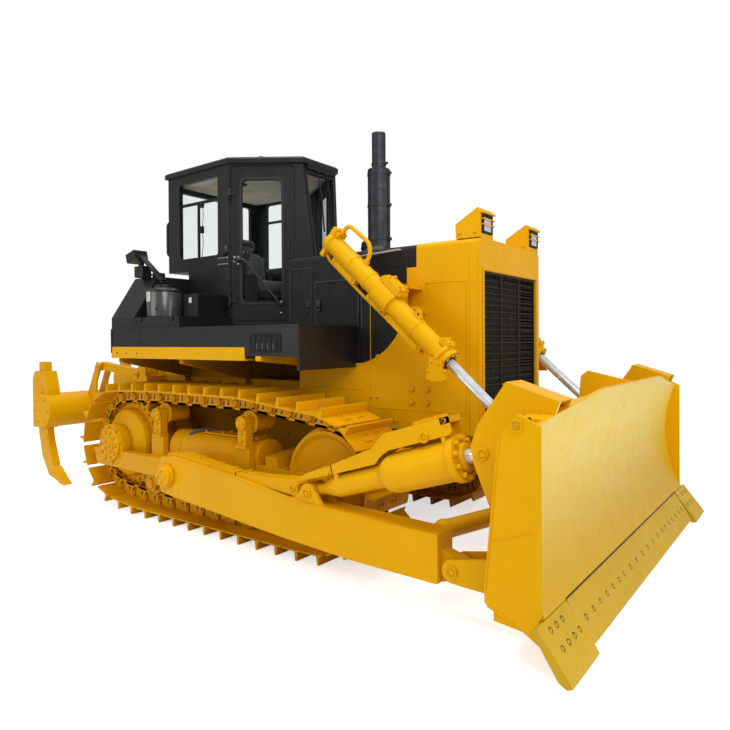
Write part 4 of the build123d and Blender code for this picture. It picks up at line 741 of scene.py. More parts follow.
# Dark discs round the edge bolts are painted shadow in their recesses, the thin strip above the edge is a
# painted shadow gap, and the rods at the end bits are dark joints
mesh = bmesh.new()
for y, share in edge_bolts:
    out = edge_out if abs(y) < bit_start else bit_out
    disc(mesh, edge_spot(y, share), out, ((-0.004, 0.017), (0.0012, 0.017)))
prism(mesh, ((3.1775, 0.2815), (3.1805, 0.2815), (3.1775, 0.29), (3.1745, 0.29)), (-1.44, 1.44))
for y in (-1.4415, 1.4415):
    rod(mesh, edge_spot(y, -0.02) + edge_out * 0.0005, edge_spot(y, 1) + edge_out * 0.0005, 0.0022, 6)
piece("edge_bolt_shade_and_seams", mesh, "soot_steel", "blade")
mesh = bmesh.new()
for y, share in edge_bolts:
    out = edge_out if abs(y) < bit_start else bit_out
    lathe(mesh, ((0, 0.0125), (0.0026, 0.0125), (0.0034, 0.01)),
          basis(edge_spot(y, share) - Vector((0, 0.005, 0)), out), 8)
piece("edge_bolts", mesh, "edge_yellow", "blade")

mesh = bmesh.new()
for sign in (-1, 1):
    out = Vector((0, sign, 0))
    eye = rounded_rectangle((2.994, 3.07), (1.198, 1.274), 0.0379, 8)
    hole = rounded_rectangle((3.006, 3.058), (1.21, 1.262), 0.0259, 8)
    band(mesh, eye, hole, span(sign, 1.753, 1.76))
    pin_cap(mesh, (2.72, sign * 1.497, 1.021), out, 0.036, 0)
    pin_cap(mesh, (2.514, sign * 1.491, 0.3), out, 0.036, 0)
    pin_cap(mesh, (2.514, sign * 1.303, 0.3), -out, 0.036, 0)
    for y, face in ((0.94, 1), (0.76, -1)):
        pin_cap(mesh, (2.72, sign * y, 1.0), out * face, 0.044, 2)
    rod(mesh, (2.935, sign * 1.755, 1.172), (2.856, sign * 1.755, 0.365), 0.007, 6)
    rod(mesh, (2.868, sign * 1.755, 0.278), (3.018, sign * 1.755, 0.224), 0.007, 6)
    for start, end in (((2.905, 0.626), (3.007, 0.666)), ((3.007, 0.666), (3.096, 0.704)),
                       ((3.096, 0.704), (3.13, 0.702))):
        rod(mesh, (start[0], sign * 1.755, start[1]), (end[0], sign * 1.755, end[1]), 0.006, 6)
for y in (-1.2, -0.6, 0.6, 1.2):
    box(mesh, (2.9, 2.986), about(y, 0.012), (0.48, 0.82))
piece("blade_fittings", mesh, "yellow", "blade", bevel=0.002)

# Lift cylinders: port blocks, pipes, clamps and glands, in each barrel's own frame

lift_pivot_x, lift_y, lift_pivot_z, lift_along = 1.6, 0.85, 2.0, (0.746, 0, -0.666)
for side, sign in sides:
    place = basis((lift_pivot_x, sign * lift_y, lift_pivot_z), lift_along)
    outboard = place.to_3x3() @ Vector((0, sign, 0))

    def spot(x, y, z):
        """A point along, outboard of and above the barrel's axis."""
        return place @ Vector((x, sign * y, z))

    mesh = bmesh.new()
    ahead, above = place.to_3x3() @ Vector((1, 0, 0)), place.to_3x3() @ Vector((0, 0, 1))
    bolt_circle(mesh, spot(-0.731, 0, 0), -ahead, 0.058, 6, 0.026, 0.016)
    box(mesh, (-0.735, -0.69), (-0.062, 0.062), (0.06, 0.126), place)
    box(mesh, (-0.728, -0.655), (-0.05, 0.05), (0.07, 0.112), place)
    box(mesh, (-0.728, -0.69), (-0.045, 0.045), (-0.135, -0.07), place)
    pipe(mesh, (spot(-0.675, 0, 0.1), spot(-0.665, 0, 0.205), spot(-0.4, 0, 0.215), spot(-0.335, 0, 0.15),
                spot(-0.33, 0, 0.07)), 0.017, 0.09)
    lathe(mesh, ((0, 0.028), (0.03, 0.028)), basis(spot(-0.675, 0, 0.105), above), 6)
    lathe(mesh, ((0, 0.028), (0.028, 0.028)), basis(spot(-0.33, 0, 0.07), above), 6)
    box(mesh, (-0.092, 0.092), span(sign, -0.072, 0.06), (0.084, 0.142), place)
    box(mesh, (-0.112, 0.112), span(sign, -0.062, 0.05), (0.086, 0.12), place)
    for x in (-0.062, 0.062):
        for y in (-0.045, 0.036):
            bolt(mesh, spot(x, y, 0.142), above, 0.026, 0.016)
    for x1, x2 in ((-0.6, -0.3), (-0.14, 0.04), (0.1, 0.5)):
        box(mesh, (x1, x2), (-0.03, 0.03), (-0.118, -0.072), place)
        for x in (x1 + 0.03, x2 - 0.03):
            bolt(mesh, spot(x, 0.0, -0.118), -above, 0.02, 0.012)
            bolt(mesh, spot(x, 0.03, -0.1), outboard, 0.018, 0.01)
    for x in (-0.42, -0.21, 0.36):
        collar(mesh, about(x, 0.016), 0.074, 0.082, place)
    pipe(mesh, (spot(-0.7, 0, -0.1), spot(-0.64, 0, -0.128), spot(-0.2, 0, -0.128), spot(0.52, 0, -0.104)),
         0.013, 0.04)
    prism(mesh, ((0.27, 0.07), (0.285, 0.125), (0.315, 0.132), (0.345, 0.11), (0.36, 0.07)),
          span(sign, 0.004, 0.03), place)
    collar(mesh, (0.64, 0.68), 0.074, 0.104, place, 0.008)
    for a, b in circle(8, math.pi / 8):
        bolt(mesh, spot(0.72, 0.07 * a, 0.07 * b), ahead, 0.022, 0.012)
    box(mesh, (0.585, 0.672), (-0.052, 0.052), (0.07, 0.112), place)
    for x in (0.606, 0.65):
        for y in (-0.034, 0.034):
            bolt(mesh, spot(x, y, 0.112), above, 0.02, 0.01)
    piece(f"lift_barrel_fittings_{side}", mesh, "yellow", f"lift_barrel_{side}", bevel=0.002)

    mesh = bmesh.new()
    head = spot(0.655, 0.1, -0.05)
    place_plate = basis(head, (1, 0, 0))
    prism(mesh, ((-0.047, -0.144), (0.12, -0.144), (0.12, -0.058), (0.089, -0.054), (0.08, 0.01),
                 (-0.027, 0.034), (-0.027, -0.054), (-0.047, -0.058)), span(sign, -0.004, 0), place_plate)
    for x, z in ((-0.034, -0.13), (-0.034, -0.072), (0.106, -0.13), (0.106, -0.072), (-0.004, -0.004),
                 (0.06, -0.02)):
        bolt(mesh, place_plate @ Vector((x, 0, z)), outboard, 0.014, 0.007)
    piece(f"lift_tag_plate_{side}", mesh, "yellow", f"lift_barrel_{side}", bevel=0.001)

    mesh = bmesh.new()
    collar(mesh, (0.719, 0.731), 0.0385, 0.052, place)
    lathe(mesh, ((0, 0.009), (0.0015, 0.009)), basis(spot(0.316, 0.03, 0.1), outboard), coarse)
    piece(f"lift_wiper_seal_{side}", mesh, "rubber", f"lift_barrel_{side}")

    mesh = bmesh.new()
    for z in (-0.1, 0.1):
        pin_cap(mesh, (lift_pivot_x, sign * 0.69, lift_pivot_z + z * 0.951), (0, 0, math.copysign(1, z)),
                0.038, 2)
    for x in (1.66, 1.73):
        for z in (1.905, 2.095):
            bolt(mesh, (x, sign * 0.602, z), (0, sign, 0), 0.026, 0.016)
    piece(f"yoke_bracket_fittings_{side}", mesh, "yellow")

# Tilt cylinder on the right and brace on the left


def lifting_ring(mesh, place, radius, thickness):
    """A small ring of bent rod, flat on a surface."""
    turns = [math.pi * k / 8 for k in range(17)]
    bend = [place @ Vector((0.004, radius * math.cos(a), radius * math.sin(a))) for a in turns]
    pipe(mesh, bend, thickness, 0.001, 8)


tilt_base_x, tilt_y, tilt_base_z = 1.35, 1.4, 0.6
tilt_along = (2.72 - tilt_base_x, 0, 1.021 - tilt_base_z)
tilt_place = basis((tilt_base_x, -tilt_y, tilt_base_z), tilt_along)
tilt_ahead, tilt_above = tilt_place.to_3x3() @ Vector((1, 0, 0)), tilt_place.to_3x3() @ Vector((0, 0, 1))
mesh = bmesh.new()
for a, b in circle(10, math.pi / 10):
    bolt(mesh, tilt_place @ Vector((1.254, 0.118 * a, 0.118 * b)), tilt_ahead, 0.03, 0.024)
lathe(mesh, ((1.2545, 0.048), (1.2545, 0.088), (1.275, 0.088), (1.283, 0.078), (1.283, 0.048)), tilt_place,
      hollow=True)
for y in (-0.0735, 0.0695):
    prism(mesh, ((0.268, 0.086), (0.268, 0.151), (0.64, 0.191), (0.76, 0.263), (1.262, 0.263), (1.262, 0.172),
                 (1.235, 0.15), (0.77, 0.15), (0.7, 0.126), (0.64, 0.086)), (y, y + 0.004), tilt_place)
prism(mesh, ((-0.05, 0.092), (-0.045, 0.118), (0.03, 0.138), (0.262, 0.15), (0.262, 0.09)), (-0.0735, 0.0735),
      tilt_place)
box(mesh, (1.195, 1.262), (-0.0735, 0.0735), (0.222, 0.263), tilt_place)
box(mesh, (0.985, 1.195), (-0.046, 0.046), (0.262, 0.285), tilt_place)
for x in (1.02, 1.16):
    for y in (-0.052, 0.052):
        bolt(mesh, tilt_place @ Vector((x, y, 0.262)), tilt_above, 0.022, 0.012)
for y in (-0.0735, 0.0735):
    face = math.copysign(1, y)
    lathe(mesh, ((-0.001, 0.016), (0.01, 0.016), (0.012, 0.012), (0.012, 0.0)),
          tilt_place @ basis((1.225, y, 0.242), (0, face, 0)), medium)
    lathe(mesh, ((-0.001, 0.024), (0.01, 0.024), (0.014, 0.018), (0.014, 0.0)),
          tilt_place @ basis((0.215, y, 0.108), (0, face, 0)), medium)
ring_place = tilt_place @ basis((1.06, -0.0755, 0.176), (0, -1, 0))
lifting_ring(mesh, ring_place, 0.03, 0.008)
piece("tilt_barrel_fittings", mesh, "yellow", "tilt_barrel", bevel=0.002)
# Dark rods in the gaps at the guard's front plate and dark squares on its bosses: painted shade
mesh = bmesh.new()
for y in (-0.0738, 0.0738):
    rod(mesh, tilt_place @ Vector((0.264, y, 0.092)), tilt_place @ Vector((0.264, y, 0.15)), 0.0032, 6)
    box(mesh, (1.214, 1.236), sorted((y, y * 1.19)), (0.231, 0.253), tilt_place)
piece("tilt_guard_slit_shade", mesh, "soot_steel", "tilt_barrel")

for side, sign in sides:
    out = Vector((0, sign, 0))
    mesh = bmesh.new()
    for y, face in ((1.48, 1), (1.32, -1)):
        pin_cap(mesh, (tilt_base_x, sign * y, tilt_base_z), out * face, 0.034, 0)
    for z in (0.47, 0.53, 0.59):
        bolt(mesh, (-0.372, sign * 1.44, z - 0.01), (-1, 0, 0), 0.028, 0.018)
        bolt(mesh, (-0.372, sign * 1.355, z - 0.01), (-1, 0, 0), 0.028, 0.018)
    for x in (-0.1, 0.1):
        rod(mesh, (x - 0.2, sign * 1.491, 0.385), (x - 0.2, sign * 1.491, 0.43), 0.004, 6)
    for path in (((2.4, 0.497), (1.31, 0.529), (0.64, 0.615), (-0.19, 0.688)),
                 ((2.4, 0.205), (1.744, 0.216), (1.1, 0.253), (-0.19, 0.362))):
        for (x1, z1), (x2, z2) in zip(path, path[1:]):
            rod(mesh, (x1, sign * 1.4895, z1), (x2, sign * 1.4895, z2), 0.005, 6)
    piece(f"push_arm_fittings_{side}", mesh, "yellow", f"push_arm_{side}")

mesh = bmesh.new()
prism(mesh, ((0.585, 0.612), (0.585, 0.65), (0.9, 0.656), (1.194, 0.678), (1.238, 0.64), (1.238, 0.536)),
      (-1.462, -1.338))
prism(mesh, ((-0.3, 0.69), (-0.29, 0.708), (-0.115, 0.727), (0.56, 0.65), (0.575, 0.618)), (-1.452, -1.348))
for x, z in ((-0.2, 0.716), (0.1, 0.702), (0.34, 0.675), (0.5, 0.657), (0.66, 0.652)):
    for y in (-1.425, -1.375):
        bolt(mesh, (x, y, z), (0.05, 0, 1), 0.024, 0.014)
eye = basis((1.19, -1.464, 0.612), (0, -1, 0))
lifting_ring(mesh, eye, 0.022, 0.007)
piece("push_arm_guard", mesh, "yellow", "push_arm_right", bevel=0.004)
# A dark block in the gap between the guard's plates and a dark rod under its lower edge: painted shade
mesh = bmesh.new()
box(mesh, (0.575, 0.586), (-1.4605, -1.3395), (0.606, 0.65))
rod(mesh, (0.8, -1.463, 0.588), (1.185, -1.463, 0.555), 0.004, 6)
piece("push_arm_guard_gap_shade", mesh, "soot_steel", "push_arm_right")

mesh = bmesh.new()
for x in (0.5, 0.955):
    collar(mesh, (x, x + 0.024), 0.081, 0.088, basis((tilt_base_x, tilt_y, tilt_base_z), tilt_along))
piece("brace_collars", mesh, "yellow", "brace_left")

# Cab: doors, windows, roof and what is seen through the glass

for side, sign in sides:
    place = basis((-0.39, sign * 0.665, 0), (0.585, -sign * 0.415, 0))
    out = (place.to_3x3() @ Vector((0, sign, 0))).normalized()

    def spot(along, away, z):
        """A point along the door panel from its post, out of it and at a height."""
        return place @ Vector((along, sign * away, z))

    mesh = bmesh.new()
    for y in ((-0.012, 0.005), (-0.046, -0.028)):
        frame_band(mesh, (0.1, 0.534), (2.033, 3.267), 0.024, span(sign, *y), 0.072, place)
    piece(f"door_gaskets_{side}", mesh, "rubber", f"door_{side}")

    mesh = bmesh.new()
    frame_band(mesh, (0.03, 0.624), (1.836, 3.366), 0.012, span(sign, -0.001, 0.003), 0.045, place)
    box(mesh, (0.085, 0.575), span(sign, -0.001, 0.005), (1.875, 1.985), place)
    pipe(mesh, (spot(0.06, 0.038, 2.462), spot(0.15, 0.038, 2.462), spot(0.505, 0.038, 2.02)), 0.0135, 0.03)
    rod(mesh, spot(0.065, 0.0, 2.462), spot(0.065, 0.05, 2.462), 0.017)
    box(mesh, (0.48, 0.53), span(sign, -0.001, 0.008), (1.935, 2.062), place)
    rod(mesh, spot(0.505, 0.0, 2.03), spot(0.505, 0.046, 2.03), 0.013)
    box(mesh, (0.04, 0.1), span(sign, -0.001, 0.009), (2.415, 2.5), place)
    pipe(mesh, (spot(0.585, 0.0, 2.46), spot(0.585, 0.045, 2.46), spot(0.585, 0.045, 2.62),
                spot(0.585, 0.0, 2.62)), 0.009, 0.02)
    piece(f"door_stay_{side}", mesh, "black", f"door_{side}", bevel=0.0015)

    mesh = bmesh.new()
    for along, z in ((0.052, 2.49), (0.088, 2.49), (0.086, 2.425), (0.505, 2.052), (0.505, 1.948)):
        bolt(mesh, spot(along, 0.009, z), out, 0.017, 0.009)
    disc(mesh, spot(0.06, 0, 2.455), out, ((0.008, 0.021), (0.022, 0.021), (0.026, 0.016)))
    disc(mesh, spot(0.585, 0.0, 2.385), out, ((0, 0.02), (0.014, 0.02), (0.02, 0.016)))
    piece(f"door_catch_{side}", mesh, "steel", f"door_{side}")

    # On the cab's side behind the door: the holdback plate, its bolts and rubber stop
    wall_out = Vector((0, sign, 0))

    def wall_spot(back, away, z):
        """A point behind the door post on the cab's side."""
        return Vector((-0.39 - back, sign * (0.665 - back * 0.0251 + away), z))

    def wall_plate(mesh, back, thickness, z):
        """A plate on the cab's side, between two distances behind the post."""
        corners = ((back[0], -0.002), (back[0], thickness), (back[1], thickness), (back[1], -0.002))
        loft(mesh, [[wall_spot(*corner, height) for corner in corners] for height in z])

    mesh = bmesh.new()
    wall_plate(mesh, (0.005, 0.155), 0.01, (2.405, 2.515))
    disc(mesh, wall_spot(0.055, 0.0, 2.56), wall_out, ((0, 0.052), (0.02, 0.052), (0.034, 0.04)), fine)
    wall_plate(mesh, (-0.002, 0.045), 0.007, (1.83, 3.385))
    outer = rounded_rectangle((-1.212, -0.538), (2.508, 3.332), 0.05)
    inner = rounded_rectangle((-1.188, -0.562), (2.532, 3.308), 0.03)
    lean = Matrix.Translation(Vector((0, sign * 0.64, 0)))
    shear = Matrix.Identity(4)
    shear[1][0] = sign * 0.0251
    band(mesh, outer, inner, span(sign, 0.02, 0.038), lean @ shear)
    z_bar, bar_y, cord_y = 3.096, sign * 0.612, sign * 0.606
    bar_place, clip_place = Matrix.Translation((0, bar_y, 0)), Matrix.Translation((0, cord_y, 0))
    box(mesh, (-1.19, -0.56), (-0.012, 0.012), about(z_bar, 0.014), bar_place)
    box(mesh, (-0.928, -0.904), (-0.01, 0.01), (2.53, z_bar), bar_place)
    box(mesh, (-0.898, -0.856), (-0.014, 0.014), (2.785, 2.855), clip_place)
    box(mesh, (-0.9, -0.85), (-0.012, 0.012), (3.045, 3.085), clip_place)
    pipe(mesh, ((-0.862, cord_y, 3.06), (-0.85, cord_y, 2.95), (-0.876, cord_y, 2.82), (-0.85, cord_y, 2.68),
                (-0.88, cord_y, 2.54)), 0.0035, 0.08, 8)
    piece(f"cab_side_fittings_{side}", mesh, "black", bevel=0.0015)

    mesh = bmesh.new()
    for back, z in [(0.02 + 0.04 * i, 2.43 + 0.06 * k) for i in range(4) for k in range(2)]:
        bolt(mesh, wall_spot(back, 0.01, z), wall_out, 0.015, 0.008)
    piece(f"holdback_bolts_{side}", mesh, "steel")

pane_lean = 0.14 / 1.6


def pane_spot(y, z, away):
    """A point on the leaning front pane."""
    base = Vector((0.335 - pane_lean * (z - 1.8), y, z))
    return base + Vector((1, 0, pane_lean)).normalized() * away


def pane_band(mesh, corners, width, away):
    """A flat frame around the tapered pane."""
    centre = Vector((0, sum(z for _, z in corners) / 4))
    rings = []
    for grow, depth in ((width, away[0]), (width, away[1]), (0, away[1]), (0, away[0])):
        rings.append([pane_spot(y + math.copysign(grow, y), z + math.copysign(grow, z - centre.y), depth)
                      for y, z in corners])
    loft(mesh, rings, around=True)


pane_corners = ((-0.14, 2.49), (0.14, 2.49), (0.198, 3.32), (-0.198, 3.32))
mesh = bmesh.new()
pane_band(mesh, pane_corners, 0.022, (-0.004, 0.006))
piece("front_pane_gasket", mesh, "rubber")

mesh = bmesh.new()
for y in (-0.055, 0.075):
    pivot = pane_spot(y, 3.352, 0.0)
    disc(mesh, pivot, (1, 0, pane_lean), ((0, 0.022), (0.024, 0.022), (0.03, 0.014)))
    rod(mesh, pane_spot(y, 3.352, 0.026), pane_spot(y + 0.045, 3.0, 0.016), 0.006, 8)
    rod(mesh, pane_spot(y + 0.04, 3.23, 0.01), pane_spot(y + 0.052, 2.76, 0.01), 0.0075, 8)
    rod(mesh, pane_spot(y + 0.04, 3.23, 0.004), pane_spot(y + 0.052, 2.76, 0.004), 0.004, 6)
box(mesh, (0.15, 0.23), (-0.2, 0.2), (3.35, 3.4))
piece("front_wipers", mesh, "dull_black")

mesh = bmesh.new()
roof = [(-1.385, -0.64), (-0.39, -0.665), (0.19, -0.25), (0.19, 0.25), (-0.39, 0.665), (-1.385, 0.64)]


def roof_ring(inset, z):
    """The cab's plan drawn in by a distance, at a height."""
    points = []
    for x, y in roof:
        inward = math.copysign(min(inset, abs(x + 0.6)), -0.6 - x)
        points.append(Vector((x + inward, y - math.copysign(inset, y), z)))
    return points


loft(mesh, (roof_ring(0.052, 3.3696), roof_ring(0.052, 3.345), roof_ring(0.1, 3.318), roof_ring(0.18, 3.31)))
for x, y in ((-0.95, 0.3), (-0.95, -0.3), (-0.4, 0.0)):
    disc(mesh, (x, y, 3.311), (0, 0, -1), ((0, 0.075), (0.01, 0.07), (0.014, 0.05)))
piece("headlining", mesh, "lining")

mesh = bmesh.new()
disc(mesh, (-0.3, 0.12, 3.3105), (0, 0, -1), ((0, 0.062), (0.012, 0.06), (0.016, 0.044)), fine)
disc(mesh, (-0.62, -0.28, 3.3105), (0, 0, -1), ((0, 0.05), (0.01, 0.048), (0.014, 0.036)), fine)
disc(mesh, (-0.3, -0.32, 3.4605), (0, 0, 1), ((0, 0.05), (0.01, 0.05), (0.014, 0.044)), fine)
for y in (-0.42, 0.42):
    box(mesh, (-1.395, -1.372), about(y, 0.05), (3.386, 3.398))
piece("roof_fittings", mesh, "plastic")
mesh = bmesh.new()
lathe(mesh, ((0, 0.04), (0.04, 0.038), (0.056, 0.028), (0.06, 0.0)), basis((-0.3, -0.32, 3.4745), (0, 0, 1)),
      fine)
piece("roof_beacon", mesh, "plastic")

# Work lamps: on the roof's rear corners, the fender's bracket and in the pods

pod_y, roof_lamp_y, fender_lamp_y = 0.4525, 0.45, 1.05


def add_lamp(shell, lens, centre, out, radius, depth, bezel=0.01):
    """A round lamp: a bowl, its bezel and the lens inside it."""
    place = basis(centre, out)
    lathe(shell, ((-depth, radius * 0.55), (-depth * 0.6, radius * 0.92), (0, radius), (0, radius - bezel),
                  (-0.014, radius - bezel)), place)
    lathe(lens, ((-0.016, radius - bezel + 0.001), (-0.008, radius - bezel + 0.001), (-0.002, radius * 0.6),
                 (0.0, 0.0)), place)


shell, lens = bmesh.new(), bmesh.new()
for y in (-pod_y, pod_y):
    box(shell, (2.226, 2.247), about(y, 0.082), (2.467, 2.61))
    frame_band(shell, (-0.08, 0.08), (-0.069, 0.069), 0.014, (-0.008, 0.001), 0.012,
               basis((2.247, y, 2.5385), (0, 1, 0)))
    box(lens, (2.24, 2.2495), about(y, 0.062), (2.484, 2.586))
piece("headlamp_rims", shell, "dull_black", bevel=0.002)
piece("headlamp_lenses", lens, "lens", bevel=0.002)
shell, lens, arm = bmesh.new(), bmesh.new(), bmesh.new()
for sign in (-1, 1):
    add_lamp(shell, lens, (-1.475, sign * roof_lamp_y, 3.35), (-1, 0, -0.25), 0.055, 0.06)
    rod(arm, (-1.405, sign * roof_lamp_y, 3.408), (-1.43, sign * roof_lamp_y, 3.38), 0.012)
    box(arm, (-1.44, -1.395), about(sign * roof_lamp_y, 0.028), (3.392, 3.406))
    tilted = basis((-1.345, sign * fender_lamp_y, 2.53), (-1, 0, -0.3))
    box(shell, (-0.075, 0.075), (-0.075, 0.075), (-0.045, 0.045), tilted)
    box(lens, (0.07, 0.079), (-0.062, 0.062), (-0.034, 0.034), tilted)
    box(arm, (-1.315, -1.175), about(sign * fender_lamp_y, 0.05), (2.318, 2.43))
    arm_place = basis((-1.24, sign * fender_lamp_y, 2.52), (0.8, 0, -0.6))
    box(arm, (-0.03, 0.42), (-0.03, 0.03), (-0.008, 0.008), arm_place)
    box(arm, (-0.03, 0.42), (-0.006, 0.006), (-0.03, 0.0), arm_place)
    box(arm, (-1.29, -1.25), about(sign * fender_lamp_y, 0.02), (2.42, 2.5))
piece("work_lamp_shells", shell, "black")
piece("work_lamp_lenses", lens, "lens")
piece("work_lamp_brackets", arm, "black", bevel=0.001)

# Seat: padded cushion, back, head rest and arm rests over a plain base


def cushion(mesh, x, y, z, place=Matrix.Identity(4), radius=0.045, steps=4):
    """A box with full, soft edges: rings of a rounded outline that swell and close."""
    rings = []
    for i in range(2 * steps + 1):
        t = -1 + i / steps
        inset = radius * (1 - math.sqrt(max(0.0, 1 - t * t))) * 0.98
        height = (z[0] + z[1]) / 2 + (z[1] - z[0]) / 2 * t
        outline = rounded_rectangle((x[0] + inset, x[1] - inset), (y[0] + inset, y[1] - inset), radius)
        rings.append([place @ Vector((a, b, height)) for a, b in outline])
    loft(mesh, rings)


mesh = bmesh.new()
cushion(mesh, (-0.88, -0.4), (-0.25, 0.25), (2.18, 2.31))
for y in (-0.235, 0.235):
    cushion(mesh, (-0.86, -0.41), about(y, 0.045), (2.2, 2.335))
back = basis((-0.905, 0, 2.27), (-0.09, 0, 1), (1, 0, 0))
cushion(mesh, (0.0, 0.39), (-0.24, 0.24), (-0.055, 0.06), back)
for y in (-0.215, 0.215):
    cushion(mesh, (0.04, 0.35), about(y, 0.04), (-0.02, 0.09), back)
cushion(mesh, (0.4, 0.53), (-0.15, 0.15), (-0.03, 0.07), back)
for y in (-0.296, 0.296):
    cushion(mesh, (-0.86, -0.48), about(y, 0.036), (2.425, 2.49), radius=0.028)
seat_pads = piece("seat_cushions", mesh, "cloth")
mesh = bmesh.new()
box(mesh, (-0.86, -0.44), (-0.21, 0.21), (2.13, 2.215))
box(mesh, (-0.82, -0.48), (-0.17, 0.17), (1.832, 2.14))
for y in (-0.11, 0.11):
    rod(mesh, (-0.936, y, 2.6), (-0.948, y, 2.74), 0.01)
for y in (-0.296, 0.296):
    box(mesh, (-0.85, -0.8), about(y, 0.02), (2.18, 2.43))
box(mesh, (-0.972, -0.945), (-0.21, 0.21), (2.2, 2.62))
piece("seat_base", mesh, "plastic", bevel=0.004)
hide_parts("operator_seat")

# Controls in the cab

mesh = bmesh.new()
for sign in (-1, 1):
    box(mesh, (-0.75, -0.34), span(sign, 0.36, 0.51), (2.33, 2.342))
    for x in (-0.7, -0.62, -0.54):
        box(mesh, (x, x + 0.035), span(sign, 0.4, 0.44), (2.342, 2.35))
    disc(mesh, (-0.42, sign * 0.43, 2.33), (0, 0, 1), ((0, 0.04), (0.012, 0.036), (0.04, 0.022)))
    lathe(mesh, ((0, 0.02), (0.03, 0.032), (0.075, 0.034), (0.095, 0.022), (0.098, 0.0)),
          basis((-0.402, sign * 0.43, 2.5), (0.1, 0, 1)), medium)
box(mesh, (-0.13, 0.04), (-0.17, 0.17), (2.38, 2.4))
prism(mesh, ((-0.13, 2.4), (0.03, 2.4), (0.03, 2.52), (-0.02, 2.53)), (-0.165, 0.165))
for y in (-0.1, 0.0, 0.1):
    lathe(mesh, ((0, 0.036), (0.008, 0.036), (0.008, 0.03)), basis((-0.078, y, 2.462), (-0.76, 0, 0.65)),
          medium)
for y in (-0.22, 0.22):
    box(mesh, (0.02, 0.12), about(y, 0.05), (1.96, 1.975))
    rod(mesh, (0.07, y, 1.965), (0.02, y, 1.835), 0.01)
piece("cab_controls", mesh, "plastic", bevel=0.002)

# Engine cover: door panels, latches, seams and the pale rail beside its top edge

cover_side = 0.576
for side, sign in sides:
    out = Vector((0, sign, 0))
    mesh = bmesh.new()
    for x, z in (((0.335, 0.6), (1.76, 2.33)), ((0.64, 1.13), (1.76, 2.2)), ((0.335, 1.13), (1.515, 1.712))):
        frame_band(mesh, x, z, 0.016, span(sign, cover_side - 0.001, cover_side + 0.006), 0.02)
    box(mesh, (0.305, 1.158), span(sign, cover_side - 0.001, cover_side + 0.005), (1.724, 1.74))
    box(mesh, (1.148, 1.166), span(sign, cover_side - 0.001, cover_side + 0.005), (1.495, 2.3))
    for x, z in ((0.36, 1.532), (1.105, 1.532), (1.2, 1.7), (0.62, 1.532), (1.24, 2.28), (1.5, 2.28),
                 (0.62, 2.28)):
        bolt(mesh, (x, sign * (cover_side + 0.001), z), out, 0.02, 0.01)
    for x, z in ((0.68, 1.985), (0.56, 1.985)):
        box(mesh, about(x, 0.022), span(sign, cover_side, cover_side + 0.014), about(z, 0.05))
        rod(mesh, (x, sign * (cover_side + 0.012), z - 0.03), (x, sign * (cover_side + 0.03), z - 0.01),
            0.008)
    for z in (1.86, 2.11):
        rod(mesh, (1.128, sign * (cover_side + 0.01), z - 0.045),
            (1.128, sign * (cover_side + 0.01), z + 0.045), 0.009)
    piece(f"cover_panels_{side}", mesh, "black", bevel=0.0015)

    mesh = bmesh.new()
    y = sign * (cover_side + 0.022)
    pipe(mesh, ((1.09, y - sign * 0.04, 2.372), (1.09, y, 2.372), (1.545, y, 2.398),
                (1.545, y - sign * 0.04, 2.398)), 0.009, 0.02)
    piece(f"cover_rail_{side}", mesh, "pipe_grey")

# Guard around the radiator: panel seam, mounting bolts, eyes and the ridge around the grille

for side, sign in sides:
    out = Vector((0, sign, 0))
    mesh = bmesh.new()
    face = 0.58
    frame_band(mesh, (1.245, 2.138), (1.118, 2.122), 0.007, span(sign, face - 0.001, face + 0.003), 0.035)
    for x in (1.655, 1.795):
        for z in (1.185, 1.29):
            bolt(mesh, (x, sign * face, z), out, 0.04, 0.022)
    for x, z in ((1.32, 1.545), (1.86, 1.03), (2.08, 1.03), (1.25, 1.21), (1.32, 1.21), (1.5, 1.03)):
        bolt(mesh, (x, sign * face, z), out, 0.022, 0.012)
    box(mesh, (0.62, 1.165), span(sign, face - 0.001, face + 0.004), (1.262, 1.27))
    for x in (2.16, 2.232):
        rod(mesh, (x, sign * (face + 0.0005), 0.965), (x, sign * (face + 0.0005), 2.385), 0.0028, 6)
    piece(f"guard_side_seams_{side}", mesh, "yellow", bevel=0.001)

mesh = bmesh.new()
outer = rounded_rectangle((-0.53, 0.53), (1.094, 2.216), 0.03)
inner = rounded_rectangle((-0.5065, 0.5065), (1.1175, 2.1925), 0.008)
turn = basis((2.24, 0, 0), (0, 1, 0))
band(mesh, outer, inner, (-0.01, 0.001), turn)
for y in (-0.518, 0.518):
    for z in (1.108, 1.655, 2.2):
        bolt(mesh, (2.24, y, z), (1, 0, 0), 0.018, 0.01)
for y in (-0.3, 0.3):
    box(mesh, (1.95, 2.05), about(y, 0.012), (2.434, 2.485))
    lathe(mesh, ((-0.014, 0.024), (0.014, 0.024)), basis((2.0, y, 2.485), (0, 1, 0)), medium)
disc(mesh, (1.86, 0.18, 2.4345), (0, 0, 1), ((0, 0.07), (0.02, 0.07), (0.03, 0.058)), fine)
piece("guard_front_fittings", mesh, "yellow", bevel=0.002)

mesh = bmesh.new()
for i in range(9):
    rod(mesh, (2.2115, -0.44 + 0.11 * i, 1.122), (2.2115, -0.44 + 0.11 * i, 2.188), 0.003, 6)
for i in range(39):
    z = 1.14 + 0.027 * i
    prism(mesh, ((2.205, z + 0.006), (2.2065, z + 0.009), (2.22, z - 0.003), (2.2185, z - 0.006)),
          (-0.5, 0.5))
for z in (1.125, 1.652, 2.182):
    box(mesh, (2.21, 2.224), (-0.504, 0.504), about(z, 0.007))
for y in (-0.5025, 0.5025):
    box(mesh, (2.0, 2.222), about(y, 0.0035), (1.119, 2.191))
piece("grille_slats", mesh, "grille_black")

